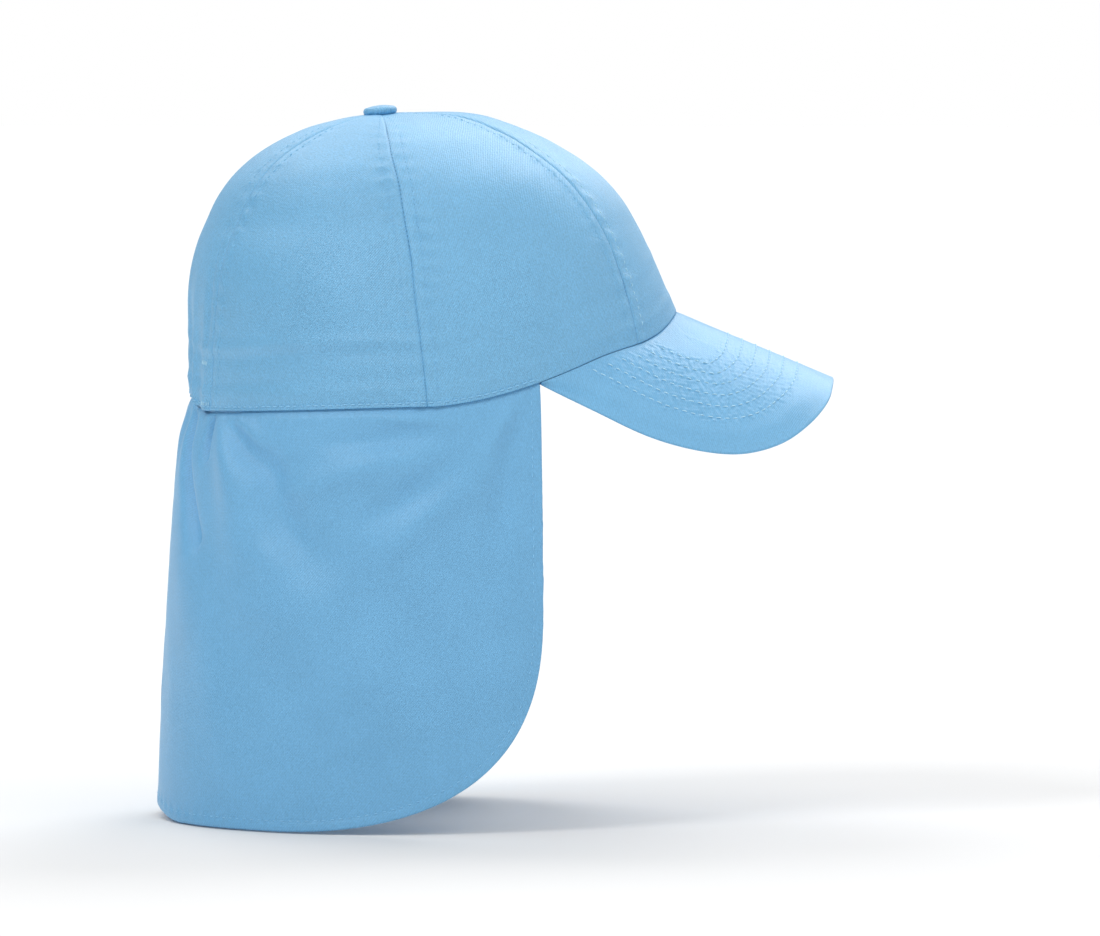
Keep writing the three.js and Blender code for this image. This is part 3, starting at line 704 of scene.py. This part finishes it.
def column_path(panel, d, low, high, from_side, lift):
    """A line up a panel at a distance from one of its seams, between two distances from the rim."""
    outer, normal, froms, tos, up = panel
    away = froms if from_side else tos
    points, normals = [], []
    for j in range(outer.shape[1]):
        want = d * min(1, (froms[0, j] + tos[0, j]) / FULL_WIDTH)
        order = np.argsort(away[:, j])
        gaps = away[order, j]
        if low <= np.interp(want, gaps, up[order, j]) <= high:
            points.append(vectors_at(want, gaps, outer[order, j]))
            normals.append(vectors_at(want, gaps, normal[order, j]))
    points, normals = np.array(points), unit(np.array(normals))
    return points + normals * lift, normals


def row_path(panel, height, lift):
    """A line across a panel at a distance up from the rim."""
    outer, normal, up = panel[0], panel[1], panel[4]
    points = np.array([vectors_at(height, *column) for column in zip(up, outer)])
    normals = unit(np.array([normal[i, np.searchsorted(up[i], height)] for i in range(len(up))]))
    return points + normals * lift, normals


panels = {}
sheets = []
for node, kind, *seams in PANELS:
    piece, grid, (wide, tall, area) = crown_panel(node, kind, *seams)
    panels[node] = grid
    sheets.append((piece, (wide * MM, tall * MM), area * MM * MM, kind))

rows, front_rows = [], []
for node, kind, from_seam, _, to_seam, _, _ in PANELS:
    grid = panels[node]
    for from_side, seam in ((True, from_seam), (False, to_seam)):
        if kind == "front":
            path = column_path(grid, TOPSTITCH, TOPSTITCH_START, FRONT_TOPSTITCH_END, from_side, 0.08)
            front_rows.append(path)
        else:
            top = float(grid[4].max()) - (SIDE_TOPSTITCH_STOP if seam == "side" else TOPSTITCH_STOP)
            rows.append(column_path(grid, TOPSTITCH, TOPSTITCH_START, top, from_side, 0.04))
finish_piece(stitches("front_topstitching", front_rows, *FRONT_TOPSTITCHES), thread)
finish_piece(stitches("seam_topstitching", rows, *SEAM_TOPSTITCHES), seam_thread)
ladder = []
for side in ("left", "right"):
    grid = panels[f"front_side_panel_{side}"]
    for d, high, lift in LADDER_ROWS:
        ladder.append(column_path(grid, d, LADDER_START, high, side == "right", lift))
# The thread in the side seams is painted dark: painted shade for the shade down in the seams.
finish_piece(stitches("seam_ladder_stitching", ladder, *LADDER_STITCHES), painted_shade_thread)
rim_rows = []
for grid in panels.values():
    path, normals = row_path(grid, RIM_STITCH, lift=0.2)
    turns = np.abs(np.arctan2(path[:, 0] / HEAD_HALF_WIDTH, -path[:, 1] / HEAD_HALF_LENGTH))
    over_flap = turns > math.radians(PEAK_CORNER_DEG + 1)
    if over_flap.sum() > 3:
        rim_rows.append((path[over_flap], normals[over_flap]))
finish_piece(stitches("rim_stitching", rim_rows, *RIM_STITCHES), hem_thread)


def spot(panel, d, height, from_side):
    """A point of a panel at a distance from one of its seams and up from the rim, with its normal."""
    outer, normal, froms, tos, up = panel
    away = froms if from_side else tos
    gaps = np.array([np.interp(height, *column) for column in zip(up, away)])
    order = np.argsort(gaps)
    found = []
    for grid in (outer, normal):
        across = np.array([vectors_at(height, *column) for column in zip(up, grid)])
        found.append(vectors_at(d, gaps[order], across[order]))
    return found[0], unit(found[1])


def bartack(low, high, start, end, lift=0.14):
    """Threads that lie close together on the back panel, beside both its seams."""
    paths = []
    for from_side in (True, False):
        for d in np.arange(start, end, BARTACK_STEP):
            ends = [spot(panels["back_panel"], d, height, from_side) for height in np.linspace(low, high, 4)]
            points, normals = (np.array(v) for v in zip(*ends))
            paths.append((points + normals * lift, normals))
    return paths


tacks = [path for tack in BARTACKS for path in bartack(*tack)]
finish_piece(stitches("bartacks", tacks, *BARTACK_STITCHES), thread)


# Button


def button():
    profile = [(0, 0.25), (BUTTON_RADIUS - 2.2, 0.1)]
    edge = 1.75
    for angle in np.linspace(-80, 90, 12):
        a = math.radians(angle)
        profile.append((BUTTON_RADIUS - edge + edge * math.cos(a), edge + 0.05 + edge * math.sin(a)))
    for share in (0.75, 0.5, 0.25, 0.0):
        profile.append(((BUTTON_RADIUS - edge) * share, 2 * edge + 0.05 + 0.6 * (1 - share * share)))
    profile = np.array(profile)
    sides = 72
    ring = np.arange(sides) * TURN / sides
    radius, up = profile[:, 0], profile[:, 1]
    gather = 0.05 * np.sin(9 * ring)[:, None] * hump(up - 0.3, 0.7)[None, :]
    out = radius + gather
    x, y, z = out * np.cos(ring)[:, None], out * np.sin(ring)[:, None], up + 0 * out
    front, back = crown(np.array([0, math.pi]), np.full(2, 0.97))
    slope = math.atan2(front[2] - back[2], back[1] - front[1]) + math.radians(BUTTON_LEAN_DEG)
    cos, sin = math.cos(slope), math.sin(slope)
    turned = np.stack([x, y * cos + z * sin, z * cos - y * sin], -1)
    turned = turned + np.array([0, BUTTON_SETBACK, CROWN_HEIGHT - 1.05])
    uv = np.stack([x, y], -1) / 10
    faces = grid_faces(sides, len(profile), 0, True)
    return make_piece("button_cover", turned.reshape(-1, 3), faces, uv.reshape(-1, 2), sharp=70)


finish_piece(button(), cloth, ["button"])


# Peak


def peak_rows():
    beyond = [2 * a - b for a, b in zip(PEAK_EDGE[-1], PEAK_EDGE[-2])]
    before = [PEAK_EDGE[1][0], -PEAK_EDGE[1][1]]
    return np.array([before, *PEAK_EDGE, beyond], float)


PEAK_ROWS_TABLE = peak_rows()
PEAK_SLOPE = math.tan(math.radians(PEAK_PITCH_DEG))
FRONT_RIM = rim_point(np.array([0.0]))[0]
CORNER_TURN = math.radians(PEAK_CORNER_DEG)
CORNER = rim_point(np.array([CORNER_TURN]))[0]


def board_height(forward, left):
    return FRONT_RIM[2] - PEAK_SLOPE * (forward + FRONT_RIM[1]) - left**2 / (2 * PEAK_BEND_RADIUS)


def peak_top(across, outward):
    turn = across * CORNER_TURN
    tucked = crown_normal(turn, np.zeros_like(turn)) * (np.minimum(outward, 0) * SEWN_TUCK)[..., None]
    rim = rim_point(turn) + tucked - np.array([0, 0, 0.05])
    edge = along_rows(PEAK_ROWS_TABLE, np.abs(across))
    tip = -FRONT_RIM[1] + PEAK_LENGTH * math.cos(math.radians(PEAK_PITCH_DEG))
    out = np.clip(outward, 0, None)
    forward = lerp(-rim[..., 1], lerp(-CORNER[1], tip, edge[..., 0]), out)
    left = lerp(rim[..., 0], np.sign(across) * edge[..., 1] * CORNER[0], out)
    misfit = rim[..., 2] - board_height(-rim[..., 1], rim[..., 0])
    bent = place(forward, left, board_height(forward, left) + misfit * (1 - out) ** 2)
    return np.where((outward <= 0)[..., None], rim, bent)


def peak_normal(across, outward):
    e = 2e-3
    a = np.clip(across, -1 + e, 1 - e)
    o = np.clip(outward, 0.01, 1 - e)
    along = peak_top(a + e, o) - peak_top(a - e, o)
    out = peak_top(a, o + e) - peak_top(a, o - e)
    n = unit(np.cross(out, along))
    return n * np.sign(n[..., 2:3])


def peak():
    even = np.linspace(-1, 1, 381)
    columns = np.sign(even) * np.abs(even) ** 0.92
    near_edge = np.array([0.925, 0.95, 0.966, 0.976, 0.984, 0.99, 0.995, 0.9985, 1.0])
    levels = np.concatenate([[-0.5, -0.2, 0.0], np.linspace(0.012, 0.91, 96), near_edge])
    across, outward = np.meshgrid(columns, levels, indexing="ij")
    top = peak_top(across, outward)
    normal = peak_normal(across, outward)
    edge_line = peak_top(np.linspace(-1, 1, 361), np.ones(361))
    inside, run = nearest_on(edge_line, distance_along(edge_line), top)
    relief = np.zeros_like(inside)
    live = 0.24 + 0.76 * smooth(np.abs(across), 0.12, 0.5)
    for k in range(PEAK_ROWS):
        d = inside - (PEAK_ROW_FIRST + k * PEAK_ROW_STEP)
        relief += (0.12 * hump(d, 2.4) - 0.16 * hump(d, 0.7)) * live
        crinkle = unevenness(run, 1.7 * inside, 4.4, 1.0 + k) + 0.5 * unevenness(run, inside, 2.8, 2.0 + k)
        relief += 0.38 * crinkle * hump(np.abs(d) - 1.3, 1.3) * live
    relief += 0.1 * unevenness(run, inside, 30, 2.0)
    relief *= smooth(outward, 0.0, 0.06)
    full = (PEAK_THICKNESS - 0.4) / 2
    at_rim = 1 - smooth(outward, 0.05, 0.7)
    turned_in = smooth(inside, 0, PEAK_ROLL)
    half = np.minimum(round_edge(inside, 2 * PEAK_EDGE_HALF), PEAK_EDGE_HALF)
    half = lerp(half + (full - PEAK_EDGE_HALF) * turned_in, full, at_rim)
    # The edge rolls down at the sides and stays level with the top at the tip.
    at_tip = 1 - smooth(np.abs(across), 0.06, 0.36)
    edge_below = lerp(PEAK_THICKNESS - PEAK_EDGE_HALF - 0.05, PEAK_EDGE_HALF + 0.2, at_tip)
    rolled = lerp(edge_below, PEAK_THICKNESS / 2, turned_in)
    below = lerp(rolled, PEAK_THICKNESS / 2, at_rim)
    centre = top - normal * below[..., None]
    upper = centre + normal * (half + relief)[..., None]
    lower = centre - normal * (half + 0.8 * relief)[..., None]
    uv = np.stack([top[..., 0] / 10, top[..., 1] / 10], -1)
    piece = sheet_piece("peak_cover", upper[::-1], lower[::-1], uv[::-1])
    return piece, (inside, upper, lower, normal)


def peak_stitch_paths(grid, faces_up=True):
    inside, upper, lower, normal = grid
    surface = upper if faces_up else lower
    paths = []
    for k in range(PEAK_ROWS):
        want = PEAK_ROW_FIRST + k * PEAK_ROW_STEP
        points, normals = [], []
        for i in range(len(inside)):
            column = inside[i, 3:]
            if column[0] < want + 1.0 or column.min() > want:
                continue
            line = np.minimum.accumulate(column)[::-1]
            points.append(vectors_at(want, line, surface[i, 3:][::-1]))
            normals.append(vectors_at(want, line, normal[i, 3:][::-1]))
        if len(points) > 4:
            normals = unit(np.array(normals)) * (1 if faces_up else -1)
            paths.append((np.array(points) + normals * 0.16, normals))
    return paths


peak_piece, peak_grid = peak()
finish_piece(peak_piece, peak_cloth, ["peak"])
peak_paths = peak_stitch_paths(peak_grid) + peak_stitch_paths(peak_grid, False)
finish_piece(stitches("peak_stitching", peak_paths, *PEAK_STITCHES), thread)


# Neck flap

FLAP_START = CORNER_TURN + 0.6 / HEAD_HALF_LENGTH
rim_turns = np.linspace(FLAP_START, math.pi, 400)
rim_line = rim_point(rim_turns)
rim_run = distance_along(rim_line)
HALF_FLAP = rim_run[-1]


def turn_at(length):
    return np.interp(length, rim_run, rim_turns)


def flap_depth(length):
    """How far the hem lies below the rim at a length along the rim from the front edge."""
    turn = turn_at(length)
    bottom = -FLAP_DROP + HEM_ARCH_RISE * rim_shape(turn)[1]
    corner_top = rim_line[0, 2] - FLAP_FRONT_EDGE
    left = np.clip(1 - length / FLAP_CORNER_REACH, 0, 1)
    hem = lerp(corner_top, bottom, (1 - left**CORNER_POWER) ** (1 / CORNER_POWER))
    return rim_point(turn)[..., 2] - hem


def flap_base(length, down, extra=0.0):
    """A point of the flap's outer side, for its left half."""
    turn = turn_at(length)
    outward = unit(crown_normal(turn, np.zeros_like(turn)) * np.array([1, 1, 0]))
    hem_flare = sweep(turn, FLAP_FRONT_FLARE, FLAP_SIDE_FLARE, FLAP_BACK_FLARE)
    share = np.clip(down - 0.6, 0, None) / FLAP_DROP
    tucked = CLOTH + 0.15
    out = -tucked + (hem_flare + tucked) * share**FLARE_POWER + extra
    out = out - 1.3 * hump(down - 7, 7) * smooth(-np.cos(turn), 0.6, 0.95)
    return rim_point(turn) + outward * out[..., None] - np.array([0, 0, 1]) * down[..., None]


def cloth_place(forward, up):
    """Where on the flap a place seen from the side lies: its length along the rim and depth below it."""
    length = np.linspace(0, HALF_FLAP - 0.5, 500)
    down = rim_point(turn_at(length))[..., 2] - up
    seen = -flap_base(length, np.clip(down, 0, None))[..., 1]
    along = float(np.interp(-forward, -seen, length))
    return along, float(np.interp(along, length, down))


def fold_relief(length, down, side):
    """The drape of the flap: its long folds, and the small ones under the gathered rim."""
    total = np.zeros_like(length)
    for forward, up, to_forward, to_up, width, depth in FLAP_FOLDS:
        a, b = cloth_place(forward, up), cloth_place(to_forward, to_up)
        shift, share_of = (0, 1.0) if side < 0 else (5 + 0.04 * forward, 0.85)
        run = np.array([b[0] - a[0], b[1] - a[1]])
        size = float(np.hypot(*run))
        x, y = length - a[0] - shift, down - a[1]
        t = (x * run[0] + y * run[1]) / size**2
        on = np.clip(t, 0, 1)
        beyond = np.where(t < 0, -t, np.where(t > 1, t - 1, 0)) * size
        aside = (x * run[1] - y * run[0]) / size
        bend = 0.12 * size * np.sin(math.pi * on) * math.copysign(0.4, depth)
        reach = width * (0.85 + 0.4 * on)
        fade = hump(beyond, width * 1.3) * (0.65 + 0.35 * np.sin(math.pi * on))
        total += share_of * depth * hump(aside + bend, reach) * fade
    from_back = HALF_FLAP - length
    ripple = np.sin(TURN * from_back / 11.5 + 0.8 * side)
    total += 0.9 * ripple * hump(from_back, 24) * hump(down - 9, 16) * smooth(down, 0.5, 6)
    total += 0.55 * unevenness(length, down, 62, 1.1 + side) * smooth(down, 8, 45)
    total += 0.16 * unevenness(length, down, 21, 2.3 - side) * smooth(down, 3, 12)
    pinch = np.sin(TURN * length / 6.3 + 0.8 * np.sin(length / 19)) * hump(down - 2.5, 2.6)
    total = total * (0.2 + 0.8 * smooth(length, 3, 18))
    return total * smooth(down, 0.3, 6) + 0.16 * pinch


def flap_edge():
    """The flap's free edge in the flat cloth, from the top of the front edge to the middle of the back."""
    front = np.stack([np.zeros(60), np.linspace(0, flap_depth(np.array([0.0]))[0], 60)], -1)
    length = HALF_FLAP * np.linspace(0, 1, 700)[1:] ** 2.2
    bottom = np.stack([length, flap_depth(length)], -1)
    line = np.concatenate([front, bottom])
    run = distance_along(line)
    even = np.linspace(0, run[-1], 480)
    return vectors_at(even, run, line), even


EDGE_LINE, EDGE_RUN = flap_edge()


def flap_surface(length, down, side):
    """The flap's outer side with all its relief, and the distance to its free edge."""
    away, run = nearest_on(EDGE_LINE, EDGE_RUN, np.stack([length, down], -1))
    relief = fold_relief(length, down, side)
    pucker = np.sin(TURN * run / 5.6 + 1.2 * np.sin(run / 27 + side))
    relief += (0.08 + 0.1 * smooth(length, 20, 60)) * pucker * hump(away - HEM_STITCH, 2.2)
    relief = relief - 0.22 * hump(away - HEM_STITCH, 0.9) + 0.2 * (1 - smooth(away, HEM_STITCH, 6))
    shift = 1.3 * hump(length, 25) if side > 0 else 0
    return flap_base(length + shift, down, relief) * np.array([side, 1, 1]), away


def round_back(left, right):
    """From the left front edge round the back to the right one, as seen from outside."""
    return np.concatenate([left, right[::-1][1:]])


def flap():
    near = np.array([0, 0.07, 0.22, 0.45, 0.75, 1.2, 1.8, 2.5, 3.1, 3.6, 4.2, 4.8, 5.4, 6.2, 7.2, 8.4])
    gathered = HALF_FLAP - 62
    length = np.concatenate(
        [near, np.linspace(near[-1], gathered, 86)[1:], np.linspace(gathered, HALF_FLAP, 78)[1:]]
    )
    rise = near[:-1]
    shares = np.linspace(1, 0, 104)[1:]
    depth = flap_depth(length)[:, None]
    down = np.concatenate([depth - rise, (depth - rise[-1] - 0.6) * shares + 0.6], axis=1)
    along = np.broadcast_to(length[:, None], down.shape)
    left, right = flap_surface(along, down, 1), flap_surface(along, down, -1)
    outer, away = (round_back(*halves) for halves in zip(left, right))
    downs, alongs = round_back(down, down), round_back(along, 2 * HALF_FLAP - along)
    middle = len(length) - 1
    blend = hump(alongs[:, :1] - HALF_FLAP, 7)
    mirrored = outer[::-1] * np.array([-1, 1, 1])
    outer = lerp(outer, (outer + mirrored) / 2, blend[..., None])
    outer[middle, :, 0] = 0
    normal = unit(np.cross(np.gradient(outer, axis=0), np.gradient(outer, axis=1)))
    wall = lerp(CLOTH, HEM_CLOTH, 1 - smooth(away, HEM_STITCH - 0.2, HEM_STITCH + 0.8))
    half = round_edge(away, wall)
    centre = outer - normal * (wall / 2)[..., None]
    face, back = centre + normal * half[..., None], centre - normal * half[..., None]
    # Above the rim's edge the cloth is sewn in under the crown.
    turns = turn_at(np.minimum(alongs[:, -1], 2 * HALF_FLAP - alongs[:, -1]))
    mirror = np.ones((len(turns), 3))
    mirror[middle + 1 :, 0] = -1
    sewn_out, sewn_in = [], []
    for height in (0.006, 0.03):
        level = np.full_like(turns, height)
        base, out = crown(turns, level), crown_normal(turns, level)
        sewn_out.append((base - out * CROWN_LAYER) * mirror)
        sewn_in.append((base - out * (CROWN_LAYER + CLOTH)) * mirror)
    face = np.concatenate([face, np.stack(sewn_out, 1)], axis=1)
    back = np.concatenate([back, np.stack(sewn_in, 1)], axis=1)
    up = np.concatenate([-downs, np.full((len(face), 1), 1.0), np.full((len(face), 1), 4.5)], axis=1)
    across = np.concatenate([alongs, alongs[:, -2:]], axis=1)
    uv = np.stack([across / 10, up / 10], -1)
    return sheet_piece("neck_flap_cloth", face, back, uv), float(np.sum(depth[:-1, 0] * np.diff(length)))


def hem_paths():
    run = np.linspace(0, EDGE_RUN[-1], 900)
    line = vectors_at(run, EDGE_RUN, EDGE_LINE)
    ahead = unit(np.gradient(line, axis=0))
    inward = np.stack([ahead[:, 1], -ahead[:, 0]], -1)
    length, down = (line + inward * HEM_STITCH).T
    keep = (down > 1.5) & (length >= HEM_STITCH - 0.2) & (length < HALF_FLAP - 0.3)
    length, down = length[keep], down[keep]
    paths = []
    for side in (1, -1):
        e = 0.3
        middle, ahead, behind, above, below = (
            flap_surface(length + x, down + y, side)[0]
            for x, y in ((0, 0), (e, 0), (-e, 0), (0, -e), (0, e))
        )
        normal = unit(np.cross(ahead - behind, above - below)) * side
        paths.append((middle + normal * 0.06, normal))
        paths.append((middle - normal * (HEM_CLOTH + 0.05), -normal))
    return paths


flap_piece, half_area = flap()
finish_piece(flap_piece, flap_cloth, ["neck_flap"])
hem = finish_piece(stitches("hem_stitching", hem_paths(), *HEM_STITCHES), hem_thread)


# Sweatband


def sweatband():
    turns = np.linspace(0, TURN, 261)[:-1]
    heights = np.linspace(0.002, 0.19, 26)
    turn, height = np.meshgrid(turns, heights, indexing="ij")
    up = distance_up(crown(turn, height))
    # The rows end at the same distance up the cloth all the way round.
    ends = np.linspace(0, SWEATBAND_HEIGHT, 26)
    level = np.stack([np.interp(ends, up[i], heights) for i in range(len(turns))])
    base, normal = crown(turn, level), crown_normal(turn, level)
    rise = np.broadcast_to(ends, turn.shape)
    inside = lerp(BAND_LAYER, CROWN_LAYER, smooth(rise, 7, SWEATBAND_HEIGHT))
    gathered = smooth(-np.cos(turn), 0.86, 0.93)
    wave = 0.35 * gathered * (0.5 + 0.5 * np.sin(60 * turn)) * (1 - smooth(rise, 16, 24))
    wave = wave + 0.08 * unevenness(turn * 90, rise, 20, 0.3)
    half = round_edge(np.minimum(rise, SWEATBAND_HEIGHT - rise), BAND_CLOTH)
    centre = base - normal * (inside + wave + BAND_CLOTH / 2)[..., None]
    outer, inner = centre + normal * half[..., None], centre - normal * half[..., None]
    uv = np.stack([turn * 9, rise / 10], -1)
    piece = sheet_piece("sweatband_cloth", outer, inner, uv, closed=True)
    paths = []
    for height in (2.0, SWEATBAND_HEIGHT - 2.2):
        row = int(np.argmin(abs(ends - height)))
        loop = np.concatenate([inner[:, row], inner[:1, row]])
        facing = -np.concatenate([normal[:, row], normal[:1, row]])
        paths.append((loop + facing * 0.08, facing))
    return piece, paths


band_piece, band_rows = sweatband()
finish_piece(band_piece, band_cloth, ["sweatband"])
band_seams = stitches("band_stitching", band_rows, *BAND_STITCHES)
band_stitching = finish_piece(band_seams, thread)


# Cloth areas: each panel's area, at least its share of its flat size, worked out and not used

for piece, (wide, tall), area, kind in sheets:
    area = max(area, LEAST_AREA_SHARE * wide * tall)


# Studio

SKY_LOW = 0.4  # the light from the horizon and from overhead, as shares of the white seen behind
SKY_HIGH = 1.1
FLAG = ((0.15, 0.9), (1, 0.25))  # towards the cap's back, the light all round fades between these shares
FLOOR_LEVEL = -0.1672
FLOOR_GREY = 0.75

# Lamps: where from, how many degrees across, and strength.
SUNS = [
    ("behind_front", (0.68, -0.38, 0.63), 34, 1.15),
    ("behind_back", (0.6, 0.33, 0.74), 34, 0.8),
    ("camera_high", (-0.46, 0.6, 0.66), 20, 0.9),
    ("front_high", (-0.4, -0.62, 0.68), 30, 0.24),
    ("fill", (-0.95, -0.15, 0.25), 60, 0.14),
]

# The camera, in metres: how high it looks down from, what it looks at, how far away it is and how wide
# its picture is there.
CAMERA_RISE_DEG = 3
CAMERA_TARGET = (0, -0.0476, -0.028)
CAMERA_AWAY = 3.0
CAMERA_VIEW = 0.44
CAMERA_SENSOR = 36


def studio():
    bpy.ops.mesh.primitive_circle_add(vertices=96, radius=40, fill_type="NGON", location=(0, 0, FLOOR_LEVEL))
    floor = bpy.context.object
    floor.name = "floor"
    material, tree, shader = new_material("floor_white")
    grey = (FLOOR_GREY, FLOOR_GREY, FLOOR_GREY, 1)
    feed(tree, shader, {"Base Color": grey, "Roughness": 1, "Specular IOR Level": 0})
    floor.data.materials.append(material)
    world = bpy.data.worlds.new("studio")
    bpy.context.scene.world = world
    world.use_nodes = True
    tree = world.node_tree
    seen = add_node(tree, "LightPath", "Is Camera Ray", {})
    direction = add_node(tree, "TexCoord", "Generated", {})
    forward = add_node(tree, "SeparateXYZ", "Y", {"Vector": direction})
    up = forward.node.outputs["Z"]
    sky = mapped(tree, up, (0, 1), (SKY_LOW, SKY_HIGH))
    flag = mapped(tree, forward, *FLAG)
    shaded = add_node(tree, "Math", "Value", {0: sky, 1: flag}, operation="MULTIPLY")
    white = add_node(tree, "Mix", "Result", {"Factor": seen, "A": shaded, "B": 1}, data_type="FLOAT")
    feed(tree, tree.nodes["Background"], {"Strength": white, "Color": (1, 1, 1, 1)})
    for name, where, spread, strength in SUNS:
        light = bpy.data.lights.new(name, "SUN")
        light.angle = math.radians(spread)
        light.energy = strength
        lamp = bpy.data.objects.new(name, light)
        lamp.location = where
        lamp.rotation_euler = (-Vector(where)).to_track_quat("-Z", "Y").to_euler()
        bpy.context.scene.collection.objects.link(lamp)


def camera():
    """The photograph's view: level with the cap's side, from a little above, with a long lens."""
    elevation = math.radians(CAMERA_RISE_DEG)
    back = Vector((-math.cos(elevation), 0, math.sin(elevation)))
    lens = bpy.data.cameras.new("camera")
    lens.sensor_width = CAMERA_SENSOR
    lens.lens = CAMERA_SENSOR * CAMERA_AWAY / CAMERA_VIEW
    lens.clip_end = 100
    seen_from = bpy.data.objects.new("camera", lens)
    seen_from.location = Vector(CAMERA_TARGET) + back * CAMERA_AWAY
    seen_from.rotation_euler = (-back).to_track_quat("-Z", "Y").to_euler()
    bpy.context.scene.collection.objects.link(seen_from)
    bpy.context.scene.camera = seen_from


studio()
camera()
bpy.context.scene.view_settings.view_transform = "Standard"
